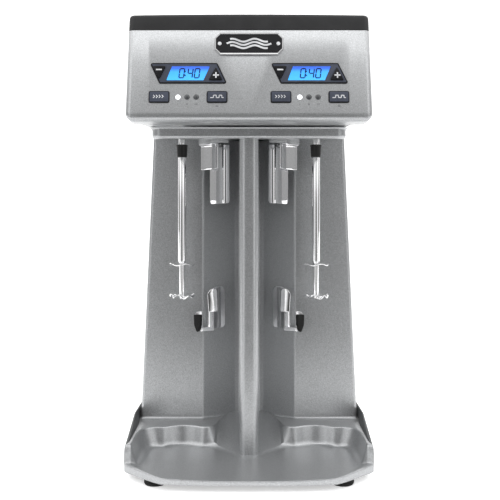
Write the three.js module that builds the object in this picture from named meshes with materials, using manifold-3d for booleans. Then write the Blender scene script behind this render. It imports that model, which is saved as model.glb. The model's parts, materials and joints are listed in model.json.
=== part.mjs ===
// Counter-top drink mixer with two spindles: a cast tray base, a column with two
// cup bays, and a head with two motors, two timers and their buttons.
// Millimetres, +Z up, front towards -Y. Origin: middle of the footprint, on the counter.
import * as THREE from 'three';
import { mergeVertices } from 'three/addons/utils/BufferGeometryUtils.js';
import Module from 'manifold-3d';

const wasm = await Module();
wasm.setup();

// ---- Driving dimensions ----
const GAP = 0.3;                    // clearance between touching parts
const BASE_HALF_WIDTH = 155;
const BASE_HALF_DEPTH = 120;
const FOOT_HEIGHT = 8;
const FOOT_X = 110;
const FLOOR_Z = 12.5;               // tray floor
const LIP_Z = 15;                   // low front lip
const RIM_Z = 38;                   // tray rim and the ledge that carries the column
const BANK_Z = 52;                  // highest point of the side banks
const CHEEK_Y = -58;                // front ends of the side walls
const BANK_BACK_Y = 108;

const WALL = 3.5;                   // casting thickness of the column
const FACET_Y = 55;                 // front plane of the outer facets
const COLUMN_BACK_Y = 110;
const COLUMN_FOOT_HALF = 150.9;      // half width of the column at the foot
const COLUMN_TOP_HALF = 132.1;
const RIDGE_X = 63.5;               // vertical edge between outer facet and inner bay
const BAY_X = 20;                   // deep end of the inner bay
const BAY_Y = 85;
const FIN_HALF = 12;                // centre pillar
const FIN_FRONT_Y = -29;

const HEAD_HALF = 148.2;           // half width at the head's underside
const HEAD_DRAFT = 0.0095;          // how fast the side walls close in with height
const HEAD_Z = 428;
const HEAD_FRONT_Y = -82;           // front edge of the head's underside
const HEAD_BACK_Y = 113;
const HEAD_TOP_Z = 541.7;
const HEAD_WALL = 4;
const STRIP_X = 127;                // the underside rises to the back outside this half width
const STRIP_SLOPE = THREE.MathUtils.degToRad(9.2);
const STRIP_Y = -50;                // where that rise starts
const COVER_TOP_Z = 563;
const LEAN = THREE.MathUtils.degToRad(10.23);    // backward lean of the front panel

const BOSS_Z = 414;                 // underside of the spindle boss
const BOSS_HALF = 123.5;
const BOSS_FRONT_Y = -31;
const BOSS_SLOPE = THREE.MathUtils.degToRad(8.3);
const BOSS_SLOPE_Y = -22;           // where the boss's underside starts to rise

const SPINDLE_X = 87;
const SPINDLE_Y = -3;
const COLLAR_TOP_Z = 409;
const SHAFT_TOP_Z = 397;
const UPPER_AGITATOR_Z = 254;
const LOWER_AGITATOR_Z = 213;
const AGITATOR_RADIUS = 16.5;

const MOTOR_Z = HEAD_Z + HEAD_WALL + GAP;
const MOTOR_HEIGHT = 92;
const MOTOR_RADIUS = 35.5;

const LEVER_ANGLE = 33.5;           // bearing of the lever from the spindle, degrees
const LEVER_RADIUS = 54.5;          // inner face of the lever, from the spindle axis
const LEVER_FOOT_Z = 334;
const PIVOT_Z = 421;
const GUIDE_RADIUS = 46;
const GUIDE_FOOT_Z = 380;

const UNIT_X = 72.8;                // middle of each timer unit, from the centre line
const BUTTON_WIDTH = 24.5;
const BUTTON_HEIGHT = 14.4;

const SIDES = [['left', -1], ['right', 1]];

// ---- Materials ----
const metal = (color, roughness, metalness) =>
  new THREE.MeshStandardMaterial({ color, roughness, metalness });
const silverPaint = metal(0xa4a9ab, 0.4, 0.6);
const blackPlastic = metal(0x2b2b2c, 0.45, 0);
const slatePlastic = metal(0x454955, 0.5, 0);
const chrome = metal(0xd8dadb, 0.12, 1);
const rubber = metal(0x141414, 0.8, 0);
const steel = metal(0x8f9496, 0.35, 1);
const lcdBlue = metal(0x2f9df2, 0.15, 0);
const clearLens = metal(0xe6e9ec, 0.2, 0);
const darkLens = metal(0x3a3d42, 0.2, 0);
const boardGreen = metal(0x1f5c38, 0.6, 0);

// ---- Geometry helpers ----
function toSolid(geometry) {
  const bare = geometry.clone();
  bare.deleteAttribute('normal');
  bare.deleteAttribute('uv');
  const merged = mergeVertices(bare, 1e-4);
  return new wasm.Manifold(new wasm.Mesh({
    numProp: 3,
    vertProperties: Float32Array.from(merged.attributes.position.array),
    triVerts: Uint32Array.from(merged.index.array),
  }));
}

function toGeometry(solid) {
  const mesh = solid.getMesh();
  const geometry = new THREE.BufferGeometry();
  geometry.setAttribute('position', new THREE.BufferAttribute(mesh.vertProperties, 3));
  geometry.setIndex(new THREE.BufferAttribute(mesh.triVerts, 1));
  geometry.computeVertexNormals();
  return geometry;
}

const joined = (...geometries) => toGeometry(
  geometries.map(toSolid).reduce((sum, next) => sum.add(next)));
const cut = (geometry, ...tools) => toGeometry(
  tools.map(toSolid).reduce((rest, tool) => rest.subtract(tool), toSolid(geometry)));
const common = (first, second) => toGeometry(toSolid(first).intersect(toSolid(second)));

// An outline whose points may carry a corner radius: [x, y] or [x, y, radius].
function outline(points, steps = 4) {
  const result = [];
  points.forEach(([x, y, radius], i) => {
    const corner = new THREE.Vector2(x, y);
    if (!radius) {
      result.push(corner);
      return;
    }
    const before = new THREE.Vector2(...points.at(i - 1).slice(0, 2));
    const after = new THREE.Vector2(...points[(i + 1) % points.length].slice(0, 2));
    const entry = before.sub(corner).setLength(radius).add(corner);
    const exit = after.sub(corner).setLength(radius).add(corner);
    result.push(...new THREE.QuadraticBezierCurve(entry, corner, exit).getPoints(steps));
  });
  return result;
}

function prism(points, bottom, top) {
  const depth = top - bottom;
  const shape = new THREE.Shape(outline(points));
  return new THREE.ExtrudeGeometry(shape, { depth, bevelEnabled: false })
    .translate(0, 0, bottom);
}

function block(x0, x1, y0, y1, z0, z1) {
  return new THREE.BoxGeometry(x1 - x0, y1 - y0, z1 - z0)
    .translate((x0 + x1) / 2, (y0 + y1) / 2, (z0 + z1) / 2);
}

// The space below a plane that rises towards the back, from the line y0, z0.
function wedgeBelow(x0, x1, y0, z0, slope) {
  const back = 140;
  const side = new THREE.Shape([
    new THREE.Vector2(y0, z0), new THREE.Vector2(y0, z0 - 8), new THREE.Vector2(back, z0 - 8),
    new THREE.Vector2(back, z0 + (back - y0) * Math.tan(slope)),
  ]);
  return new THREE.ExtrudeGeometry(side, { depth: x1 - x0, bevelEnabled: false })
    .applyMatrix4(new THREE.Matrix4().set(0, 0, 1, x0, 1, 0, 0, 0, 0, 1, 0, 0, 0, 0, 0, 1));
}

// A closed solid through sections of the same number of points, lowest first.
function loft(sections) {
  const count = sections[0].points.length;
  const positions = sections.flatMap(({ z, points }) => points.flatMap((p) => [p.x, p.y, z]));
  const faces = [];
  for (let level = 0; level + 1 < sections.length; level += 1) {
    for (let i = 0; i < count; i += 1) {
      const a = level * count + i;
      const b = level * count + (i + 1) % count;
      faces.push(a, b, b + count, a, b + count, a + count);
    }
  }
  const cap = (level) => THREE.ShapeUtils.triangulateShape(sections[level].points, [])
    .map((face) => face.map((i) => i + level * count));
  cap(0).forEach(([a, b, c]) => faces.push(a, c, b));
  cap(sections.length - 1).forEach((face) => faces.push(...face));
  const geometry = new THREE.BufferGeometry();
  geometry.setAttribute('position', new THREE.Float32BufferAttribute(positions, 3));
  geometry.setIndex(faces);
  geometry.computeVertexNormals();
  return geometry;
}

function lathe(profile, segments = 18) {
  const points = profile.map(([radius, z]) => new THREE.Vector2(radius, z));
  return new THREE.LatheGeometry([...points, points[0]], segments).rotateX(Math.PI / 2);
}

const bore = (radius, x, y, z0, z1) => new THREE.CylinderGeometry(radius, radius, z1 - z0, 16)
  .rotateX(Math.PI / 2).translate(x, y, (z0 + z1) / 2);

const mirrored = (half) => [...half, ...half.map(([x, y, r]) => [-x, y, r]).reverse()];

// A point in plan at a radius and bearing from the spindle on that side. Bearing 0
// points to the centre line and 90 to the back.
function around(side, radius, degrees) {
  const angle = THREE.MathUtils.degToRad(degrees);
  return [
    side * (SPINDLE_X - radius * Math.cos(angle)),
    SPINDLE_Y + radius * Math.sin(angle),
  ];
}

function arcStrip(side, inner, outer, from, to, steps = 8) {
  const bearings = Array.from({ length: steps + 1 }, (_, i) => from + (to - from) * i / steps);
  return [
    ...bearings.map((bearing) => around(side, inner, bearing)),
    ...bearings.reverse().map((bearing) => around(side, outer, bearing)),
  ];
}

// A block that faces the spindle, centred on the lever's bearing.
function leverBlock(side, inner, outer, halfWidth, z0, z1) {
  return block(inner, outer, -halfWidth, halfWidth, z0, z1)
    .applyMatrix4(leverFrame(side, 0, 0));
}

// The frame of a lever: +X away from the spindle axis, +Y along the pivot, +Z up.
function leverFrame(side, radius, z) {
  const angle = THREE.MathUtils.degToRad(side < 0 ? LEVER_ANGLE : 180 - LEVER_ANGLE);
  const [x, y] = around(side, radius, LEVER_ANGLE);
  return new THREE.Matrix4().makeRotationZ(angle).setPosition(x, y, z);
}

// A straight upright plate between two plan points given for the right-hand side.
function plate(side, [x0, y0], [x1, y1], thickness, z0, z1) {
  const length = Math.hypot(x1 - x0, y1 - y0);
  return new THREE.BoxGeometry(length, thickness, z1 - z0)
    .rotateZ(Math.atan2(y1 - y0, side * (x1 - x0)))
    .translate(side * (x0 + x1) / 2, (y0 + y1) / 2, (z0 + z1) / 2);
}

const object = new THREE.Group();

function add(name, geometry, material, parent = object) {
  const mesh = new THREE.Mesh(geometry, material);
  mesh.name = name;
  parent.add(mesh);
  return mesh;
}

// ---- Base ----
const baseOutline = mirrored([
  [0, -BASE_HALF_DEPTH],
  [60, -119],
  [103, -115, 4],
  [150, -74, 4],
  [151, CHEEK_Y],
  [BASE_HALF_WIDTH, 32],
  [BASE_HALF_WIDTH, BASE_HALF_DEPTH, 12],
]).filter(([x], i) => i === 0 || x !== 0);

// Tray opening at the rim and the matching points of the floor's edge below it.
const rimHalf = [
  [105, -118], [142, -84], [142, -62], [144, -30], [143, -5], [136, 9], [113, 16],
  [88, 23], [60, 16.5], [45, 23], [38, 45], [26, 68], [13, 78],
];
const floorHalf = [
  [100, -111], [136, -78], [136, -58], [137, -30], [135, -4], [129, 5], [111, 12.5],
  [88, 19.5], [61, 13], [46, 9], [30, -9], [20, -20], [13, -29],
];

function trayPocket() {
  const section = (half, z) => ({
    z,
    points: mirrored(half).map(([x, y]) => new THREE.Vector2(x, y)).reverse(),
  });
  const pocket = loft([section(floorHalf, FLOOR_Z), section(rimHalf, RIM_Z)].map(
    ({ z, points }) => ({ z, points: points.reverse() })));
  const above = prism(mirrored(rimHalf), RIM_Z - 0.01, BANK_Z + 1);
  return joined(pocket, above);
}

function makeBase() {
  const body = prism(baseOutline, FOOT_HEIGHT, RIM_Z);
  // Seen from the side, a bank rises from the cheek to the back. Seen from the front,
  // it leans outwards from the tray's rim.
  const bankSide = [
    [CHEEK_Y, FOOT_HEIGHT], [CHEEK_Y, RIM_Z], [0, 46], [34, BANK_Z],
    [BANK_BACK_Y, BANK_Z], [BANK_BACK_Y, FOOT_HEIGHT],
  ];
  const sideView = new THREE.ExtrudeGeometry(
    new THREE.Shape(bankSide.map(([y, z]) => new THREE.Vector2(y, z))),
    { depth: 2 * BASE_HALF_WIDTH, bevelEnabled: false })
    .rotateZ(Math.PI / 2).rotateY(Math.PI / 2).translate(-BASE_HALF_WIDTH, 0, 0);
  const bank = (side) => {
    const frontView = new THREE.Shape([
      [143, FOOT_HEIGHT + 4], [BASE_HALF_WIDTH, FOOT_HEIGHT + 4], [BASE_HALF_WIDTH, BANK_Z],
      [152, BANK_Z], [146, RIM_Z],
    ].map(([x, z]) => new THREE.Vector2(side * x, z)));
    const length = BANK_BACK_Y - CHEEK_Y;
    const along = new THREE.ExtrudeGeometry(frontView, { depth: length, bevelEnabled: false })
      .rotateX(Math.PI / 2).translate(0, BANK_BACK_Y, 0);
    return common(common(along, sideView), prism(baseOutline, 0, BANK_Z + 1));
  };
  const whole = joined(body, bank(-1), bank(1));
  const plateRecess = prism(
    baseOutline.map(([x, y, r]) => [x * 0.95, y * 0.95, r]), 0, FOOT_HEIGHT + 1.5 + GAP);
  return cut(
    whole,
    trayPocket(),
    block(-160, 160, -130, CHEEK_Y, LIP_Z, RIM_Z + 1),
    block(-151, 151, FACET_Y - 1, COLUMN_BACK_Y + 4, RIM_Z, BANK_Z + 1),
    block(-FIN_HALF - GAP, FIN_HALF + GAP, FIN_FRONT_Y - GAP, 48 + GAP, FLOOR_Z, RIM_Z + 1),
    plateRecess,
    block(-136, 136, 80, COLUMN_BACK_Y - 6, FOOT_HEIGHT, RIM_Z - 4),
    block(-100, -60, 84, COLUMN_BACK_Y - 8, FOOT_HEIGHT, RIM_Z + 1),
  );
}

add('base_tray', makeBase(), silverPaint);
add('base_plate', prism(
  baseOutline.map(([x, y, r]) => [x * 0.945, y * 0.945, r]),
  FOOT_HEIGHT, FOOT_HEIGHT + 1.5), steel);

for (const [sideName, side] of SIDES) {
  for (const [endName, y] of [['front', -88], ['rear', 98]]) {
    const top = FOOT_HEIGHT - GAP;
    const foot = lathe([[0, 0], [12.5, 0], [14, 1.5], [14, top], [0, top]]);
    add(`foot_${endName}_${sideName}`, foot, rubber).position.set(side * FOOT_X, y, 0);
  }
}

// ---- Column ----
function columnSection(z, half) {
  const slope = new THREE.Vector2(RIDGE_X - BAY_X, FACET_Y - BAY_Y).setLength(WALL);
  const outer = [
    [half, COLUMN_BACK_Y], [half, FACET_Y, 7], [RIDGE_X, FACET_Y, 5],
    [BAY_X, BAY_Y, 4], [FIN_HALF, BAY_Y + 1, 2], [FIN_HALF, FIN_FRONT_Y, 8],
  ];
  const inner = [
    [half - WALL, COLUMN_BACK_Y], [half - WALL, FACET_Y + WALL, 4],
    [RIDGE_X - slope.y, FACET_Y + WALL], [BAY_X - slope.y / 2, BAY_Y + WALL],
    [FIN_HALF - WALL, BAY_Y + WALL, 2], [FIN_HALF - WALL, FIN_FRONT_Y + WALL + 2, 3],
  ];
  const path = [...mirrored(outer), ...mirrored(inner).reverse()];
  return { z, points: outline(path, 3).reverse() };
}

const bossHalf = [
  [BOSS_HALF, BOSS_FRONT_Y, 14], [BOSS_HALF, FACET_Y - GAP], [RIDGE_X, FACET_Y - GAP],
  [BAY_X, BAY_Y - 2 * GAP],
];
const bossOutline = mirrored(bossHalf);

// The column's upper corners, which fill the rise of the head's underside.
function makeHorn(side) {
  const edge = COLUMN_TOP_HALF - 0.1;
  const inner = STRIP_X + GAP;
  const corner = [
    [inner, COLUMN_BACK_Y], [inner, FACET_Y], [edge, FACET_Y, 4], [edge, COLUMN_BACK_Y],
  ];
  return common(
    prism(corner.map(([x, y, r]) => [side * x, y, r]), HEAD_Z - 8, HEAD_Z + 40),
    wedgeBelow(-150, 150, STRIP_Y, HEAD_Z - GAP, STRIP_SLOPE));
}

function makeColumn() {
  const foot = FLOOR_Z + GAP;
  const top = HEAD_Z - GAP;
  const shell = loft([
    columnSection(foot, COLUMN_FOOT_HALF),
    columnSection(top, COLUMN_TOP_HALF),
  ]);
  const roomOutline = mirrored([
    [130, -40], [130, FACET_Y - GAP / 2], [RIDGE_X, FACET_Y - GAP / 2], [BAY_X, BAY_Y - GAP / 2],
  ]);
  const roomForBoss = cut(
    prism(roomOutline, BOSS_Z - GAP, HEAD_Z + 1),
    wedgeBelow(-131, 131, BOSS_SLOPE_Y, BOSS_Z - GAP, BOSS_SLOPE));
  const belowLedge = block(-160, 160, 48, 130, 0, RIM_Z + GAP);
  const horns = SIDES.map(([, side]) => makeHorn(side));
  return cut(joined(shell, ...horns), roomForBoss, belowLedge);
}

add('column_housing', makeColumn(), silverPaint);

function makeRearCover() {
  const back = COLUMN_BACK_Y + GAP;
  const panel = new THREE.ExtrudeGeometry(
    new THREE.Shape([
      new THREE.Vector2(-COLUMN_FOOT_HALF + 2, RIM_Z + GAP),
      new THREE.Vector2(COLUMN_FOOT_HALF - 2, RIM_Z + GAP),
      new THREE.Vector2(COLUMN_TOP_HALF - 1, HEAD_Z - GAP),
      new THREE.Vector2(-COLUMN_TOP_HALF + 1, HEAD_Z - GAP),
    ]), { depth: 2.5, bevelEnabled: false }).rotateX(Math.PI / 2).translate(0, back + 2.5, 0);
  const slots = [];
  for (const x of [-62, 62]) {
    for (let row = 0; row < 7; row += 1) {
      slots.push(block(x - 34, x + 34, back - 1, back + 5, 300 + row * 13, 305 + row * 13));
    }
  }
  const glandHole = bore(8 + GAP, 0, 0, 0, 20).rotateX(Math.PI / 2).translate(-80, back + 12, 66);
  return cut(panel, ...slots, glandHole);
}

add('rear_cover', makeRearCover(), blackPlastic);
add('cord_gland', lathe([
  [5, -6], [8, -6], [8, 3.2], [11, 3.2], [11, 6.2], [5, 6.2],
]).rotateX(-Math.PI / 2), blackPlastic).position.set(-80, COLUMN_BACK_Y, 66);

// ---- Head ----
const frontY = (z) => HEAD_FRONT_Y + (z - HEAD_Z) * Math.tan(LEAN);

function headSection(z, inset, radius = 9) {
  const x = HEAD_HALF - (z - HEAD_Z) * HEAD_DRAFT - inset;
  const front = frontY(z) + inset;
  const back = HEAD_BACK_Y - inset;
  const corner = Math.max(radius - inset, 3);
  const points = outline([
    [-x, front, corner], [x, front, corner], [x, back, corner], [-x, back, corner],
  ], 4);
  return { z, points };
}

const panel = new THREE.Group();
panel.position.set(0, HEAD_FRONT_Y, HEAD_Z);
panel.rotation.x = Math.PI / 2 - LEAN;
panel.updateMatrixWorld(true);
object.add(panel);
const inPanel = (geometry) => geometry.clone().applyMatrix4(panel.matrix);

// Outlines on the panel: x from the unit's middle, y up the leaning face.
const bezelOutline = [[-34.6, 46.7, 2], [46.4, 46.7, 2], [34.6, 72.6, 2], [-46.4, 72.6, 2]];
const windowOutline = [[-26.2, 50.7], [18.1, 50.7], [25.7, 68.4], [-19.9, 68.4]];
const minusOutline = [[-34.9, 51.6, 1], [-27.4, 68.4, 1], [-43.4, 68.4, 1]];
const plusOutline = [[24.4, 50.7, 1], [41, 50.7, 1], [33, 67.2, 1]];
const LAMP_X = [-12.1, -1.2, 9.7];
const LAMP_Y = 29.5;
const LAMP_RADIUS = 3.1;

function buttonOutline(x, grow) {
  const halfWidth = BUTTON_WIDTH / 2 + grow;
  const halfHeight = BUTTON_HEIGHT / 2 + grow;
  const y = LAMP_Y + 0.2;
  return [
    [x - halfWidth, y - halfHeight, 2], [x + halfWidth, y - halfHeight, 2],
    [x + halfWidth, y + halfHeight, 2], [x - halfWidth, y + halfHeight, 2],
  ];
}
const SPEED_X = -34.6;
const PULSE_X = 34.6;

// An outline grown or shrunk about its own middle by a fixed margin.
function offset(points, margin) {
  const middleX = points.reduce((sum, [x]) => sum + x, 0) / points.length;
  const middleY = points.reduce((sum, [, y]) => sum + y, 0) / points.length;
  return points.map(([x, y, r]) => {
    const away = new THREE.Vector2(x - middleX, y - middleY);
    away.setLength(away.length() + 2 * margin).add(new THREE.Vector2(middleX, middleY));
    return [away.x, away.y, r];
  });
}

const shifted = (points, x) => points.map(([px, py, r]) => [px + x, py, r]);

function unitHoles(x) {
  const depth = [-12, 6];
  const lamps = LAMP_X.map((lampX) => bore(LAMP_RADIUS + GAP, x + lampX, LAMP_Y, ...depth));
  return [
    prism(offset(shifted(bezelOutline, x), 0.3), ...depth),
    prism(buttonOutline(x + SPEED_X, 0.4), ...depth),
    prism(buttonOutline(x + PULSE_X, 0.4), ...depth),
    ...lamps,
  ].map(inPanel);
}

const leverSlots = SIDES.map(([, side]) => leverBlock(side, 49, 62, 8, BOSS_Z - 1, HEAD_Z + 10));
const shaftHoles = SIDES.map(([, side]) => bore(7, side * SPINDLE_X, SPINDLE_Y, BOSS_Z - 1, HEAD_Z + 10));

function makeHead() {
  const outer = loft([
    headSection(HEAD_Z, 9), headSection(HEAD_Z + 1.5, 5), headSection(HEAD_Z + 5, 1.5),
    headSection(HEAD_Z + 10, 0), headSection(HEAD_TOP_Z, 0),
  ]);
  const hollow = loft([
    headSection(HEAD_Z + HEAD_WALL, 11), headSection(HEAD_Z + 12, HEAD_WALL),
    headSection(HEAD_TOP_Z + 5, HEAD_WALL),
  ]);
  const strips = (inset, lift) => [STRIP_X - inset, -160].map(
    (x) => wedgeBelow(x, x + 33 + inset, STRIP_Y, HEAD_Z + lift, STRIP_SLOPE));
  const inner = cut(hollow, ...strips(HEAD_WALL, HEAD_WALL + 0.6));
  const wiring = block(-100, 100, 70, 104, HEAD_Z - 1, HEAD_Z + HEAD_WALL + 1);
  return cut(
    outer, inner, wiring, ...strips(0, 0), ...shaftHoles, ...leverSlots,
    ...SIDES.flatMap(([, side]) => unitHoles(side * UNIT_X)),
  );
}

function makeTopCover() {
  const foot = HEAD_TOP_Z + GAP;
  const outer = loft([
    headSection(foot, 0), headSection(COVER_TOP_Z - 4.5, 0), headSection(COVER_TOP_Z - 1.3, 1.3),
    headSection(COVER_TOP_Z, 4.5),
  ]);
  const inner = loft([
    headSection(foot - 1, HEAD_WALL), headSection(COVER_TOP_Z - 6, HEAD_WALL),
    headSection(COVER_TOP_Z - 3.5, 7),
  ]);
  return cut(outer, inner);
}

function makeBoss() {
  const pinBores = SIDES.map(([, side]) => new THREE.CylinderGeometry(1.8, 1.8, 30, 12)
    .applyMatrix4(leverFrame(side, LEVER_RADIUS + 0.75, PIVOT_Z)));
  const body = cut(
    prism(bossOutline, BOSS_Z, HEAD_Z - GAP),
    wedgeBelow(-131, 131, BOSS_SLOPE_Y, BOSS_Z, BOSS_SLOPE));
  const pads = SIDES.map(([, side]) => prism(arcStrip(side, 38, 62, 14, 60), BOSS_Z, HEAD_Z - 2));
  return cut(joined(body, ...pads), ...shaftHoles, ...leverSlots, ...pinBores);
}

add('head_housing', makeHead(), silverPaint);
add('top_cover', makeTopCover(), blackPlastic);
add('spindle_boss', makeBoss(), silverPaint);

add('nameplate', prism([
  [-35, 83.5], [35, 83.5], [41.6, 90], [41.6, 104.5], [35, 111], [-35, 111], [-41.6, 104.5],
  [-41.6, 90],
], GAP, 2.3), chrome, panel);

add('control_board', block(-118, 118, 14, 82, -18, -16.4), boardGreen, panel);

// ---- Timer units ----
function makeBezel() {
  return cut(
    prism(bezelOutline, -5, 1.4),
    prism(offset(windowOutline, 0.3), -6, 3),
    prism(offset(minusOutline, 0.5), -6, 3),
    prism(offset(plusOutline, 0.5), -6, 3),
  );
}

for (const [sideName, side] of SIDES) {
  const unit = new THREE.Group();
  unit.position.x = side * UNIT_X;
  panel.add(unit);
  add(`display_bezel_${sideName}`, makeBezel(), slatePlastic, unit);
  add(`display_window_${sideName}`, prism(windowOutline, -4, 0.8), lcdBlue, unit);
  add(`minus_button_${sideName}`, prism(minusOutline, -6, 2.2), blackPlastic, unit);
  add(`plus_button_${sideName}`, prism(plusOutline, -6, 2.2), blackPlastic, unit);
  add(`speed_button_${sideName}`, prism(buttonOutline(SPEED_X, 0), -6, 2), slatePlastic, unit);
  add(`pulse_button_${sideName}`, prism(buttonOutline(PULSE_X, 0), -6, 2), slatePlastic, unit);
  LAMP_X.forEach((x, i) => {
    const lens = lathe([[0, -5], [LAMP_RADIUS, -5], [LAMP_RADIUS, 0.3], [1.8, 0.9], [0, 1]], 12);
    add(`lamp_${sideName}_${i + 1}`, lens, i ? darkLens : clearLens, unit)
      .position.set(x, LAMP_Y, 0);
  });
}

// ---- Motors and spindles ----
function makeMotorCase() {
  const top = MOTOR_HEIGHT;
  const inside = MOTOR_RADIUS - 3;
  return lathe([
    [11, 0], [MOTOR_RADIUS, 0], [MOTOR_RADIUS, top], [11, top], [11, top - 8], [inside, top - 8],
    [inside, 8], [11, 8],
  ]);
}

const ROTOR_FOOT = 398 - MOTOR_Z;
const makeRotor = () => lathe([
  [0, ROTOR_FOOT], [4.5, ROTOR_FOOT], [4.5, 18], [28, 18], [28, 62], [12, 62], [12, 74],
  [4.5, 74], [4.5, MOTOR_HEIGHT + 4], [0, MOTOR_HEIGHT + 4],
]);

const makeSpindleShaft = () => lathe([
  [0, LOWER_AGITATOR_Z - 4], [3, LOWER_AGITATOR_Z - 4], [3, UPPER_AGITATOR_Z + 3],
  [5.2, UPPER_AGITATOR_Z + 5], [5.2, SHAFT_TOP_Z - 1.5], [4, SHAFT_TOP_Z], [0, SHAFT_TOP_Z],
], 16);

const makeCollar = () => lathe([
  [5.6, SHAFT_TOP_Z - 4], [6, SHAFT_TOP_Z - 4], [7.6, COLLAR_TOP_Z - 1], [7.2, COLLAR_TOP_Z],
  [4.8, COLLAR_TOP_Z], [4.8, SHAFT_TOP_Z + GAP], [5.6, SHAFT_TOP_Z + GAP],
], 16);

// A thin stamped disc with a bore, whose edge waves up and down in a number of lobes.
function waveDisc(innerRadius, outerRadius, thickness, wave, lobes, scallop) {
  const steps = lobes * 6;
  const positions = [];
  for (let i = 0; i < steps; i += 1) {
    const angle = 2 * Math.PI * i / steps;
    const swing = Math.sin(lobes * angle);
    const reach = outerRadius - scallop * (1 - Math.cos(lobes * angle)) / 2;
    for (const [radius, z] of [
      [innerRadius, -thickness / 2], [reach, wave * swing - thickness / 2],
      [reach, wave * swing + thickness / 2], [innerRadius, thickness / 2],
    ]) {
      positions.push(radius * Math.cos(angle), radius * Math.sin(angle), z);
    }
  }
  const faces = [];
  for (let i = 0; i < steps; i += 1) {
    const here = i * 4;
    const next = ((i + 1) % steps) * 4;
    for (let k = 0; k < 4; k += 1) {
      const l = (k + 1) % 4;
      faces.push(here + k, next + l, here + l, here + k, next + k, next + l);
    }
  }
  const geometry = new THREE.BufferGeometry();
  geometry.setAttribute('position', new THREE.Float32BufferAttribute(positions, 3));
  geometry.setIndex(faces);
  geometry.computeVertexNormals();
  return geometry;
}

for (const [sideName, side] of SIDES) {
  const axis = new THREE.Group();
  axis.position.set(side * SPINDLE_X, SPINDLE_Y, 0);
  object.add(axis);
  add(`motor_case_${sideName}`, makeMotorCase(), steel, axis).position.z = MOTOR_Z;
  add(`motor_rotor_${sideName}`, makeRotor(), steel, axis).position.z = MOTOR_Z;
  for (const [name, z] of [['lower', 1], ['upper', MOTOR_HEIGHT - 7]]) {
    const ring = lathe([[4.8, 0], [10.7, 0], [10.7, 6], [4.8, 6]]);
    add(`${name}_bearing_${sideName}`, ring, steel, axis).position.z = MOTOR_Z + z;
  }
  add(`spindle_shaft_${sideName}`, makeSpindleShaft(), chrome, axis);
  add(`spindle_collar_${sideName}`, makeCollar(), rubber, axis);
  add(`upper_agitator_${sideName}`, waveDisc(3.3, AGITATOR_RADIUS, 1.2, 1.6, 4, 1.5), chrome, axis)
    .position.z = UPPER_AGITATOR_Z;
  add(`lower_agitator_${sideName}`, waveDisc(3.3, AGITATOR_RADIUS, 1.2, 3, 5, 3), chrome, axis)
    .position.z = LOWER_AGITATOR_Z;
}

// ---- Cup guides, start levers and cup rests ----
function makeGuide(side) {
  const inner = GUIDE_RADIUS;
  const outer = GUIDE_RADIUS + 1.5;
  const top = BOSS_Z - GAP;
  return joined(
    prism(arcStrip(side, inner, outer, 12, 62), GUIDE_FOOT_Z, top),
    prism(arcStrip(side, inner - 8, outer, 16, 58), top - 1.5, top),
  );
}

function makeLever(side) {
  const outer = LEVER_RADIUS + 1.5;
  const middle = LEVER_RADIUS + 0.75;
  const tongue = prism(arcStrip(side, LEVER_RADIUS, outer, 15, 52), LEVER_FOOT_Z, BOSS_Z - 3);
  const flange = prism([
    around(side, outer - 0.5, 15), around(side, 64, 16.2), around(side, 64, 17.6),
    around(side, outer - 0.5, 16.6),
  ], LEVER_FOOT_Z, BOSS_Z - 3);
  const neck = leverBlock(side, LEVER_RADIUS, outer, 6, BOSS_Z - 8, HEAD_Z + 11);
  const barrel = new THREE.CylinderGeometry(3.5, 3.5, 12, 16)
    .applyMatrix4(leverFrame(side, middle, PIVOT_Z));
  const hole = new THREE.CylinderGeometry(1.8, 1.8, 20, 12)
    .applyMatrix4(leverFrame(side, middle, PIVOT_Z));
  return cut(joined(tongue, flange, neck, barrel), hole);
}

const HOLDER_THICKNESS = 2.5;

function makeRest(side) {
  const wallPoint = (x) => [x, FACET_Y + (RIDGE_X - x) * (BAY_Y - FACET_Y) / (RIDGE_X - BAY_X) - 1.9];
  return joined(
    plate(side, wallPoint(52), wallPoint(33), 2, 162, 220),
    plate(side, wallPoint(40), [50, 46], 2.2, 164, 219),
    plate(side, [48.5, 49], [66, 39.5], 7, 160, 166.5),
    plate(side, [42, 47.5], [57, 43.5], 2.5, 186, 220),
    plate(side, [50, 46], [56, 44], 2.5, 164, 190),
    plate(side, [62.8, 35.6], [72.8, 40.2], HOLDER_THICKNESS, 160, 190),
  );
}

function makeBumper(side) {
  const shape = [[-5, 25], [5, 25], [5, 14], [2, 1], [-2, 1], [-5, 14]];
  const pad = new THREE.ExtrudeGeometry(
    new THREE.Shape(shape.map(([x, y]) => new THREE.Vector2(x, y))),
    { depth: 5, bevelEnabled: false });
  const turn = Math.atan2(4.6, 10);
  const ahead = HOLDER_THICKNESS / 2 + GAP;
  return pad.rotateX(Math.PI / 2).rotateZ(side * turn)
    .translate(side * (67.8 + ahead * Math.sin(turn)), 37.9 - ahead * Math.cos(turn), 160.5);
}

for (const [sideName, side] of SIDES) {
  add(`cup_guide_${sideName}`, makeGuide(side), chrome);
  add(`start_lever_${sideName}`, makeLever(side), chrome);
  add(`lever_pin_${sideName}`, new THREE.CylinderGeometry(1.5, 1.5, 24, 12)
    .applyMatrix4(leverFrame(side, LEVER_RADIUS + 0.75, PIVOT_Z)), steel);
  add(`start_switch_${sideName}`,
    leverBlock(side, 43, 51.5, 10, HEAD_Z + HEAD_WALL + GAP, HEAD_Z + 17), blackPlastic);
  add(`cup_rest_${sideName}`, makeRest(side), chrome);
  add(`rest_bumper_${sideName}`, makeBumper(side), rubber);
}

export default object;
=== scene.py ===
"""The looks of a counter-top drink mixer with two spindles, built around its CAD frame.

Lengths in this script are millimetres; MM turns them into metres when a mesh is made.
+Z is up and the front is towards -Y.
"""
import json
import math

import bmesh
import bpy
from mathutils import Matrix, Vector


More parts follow.
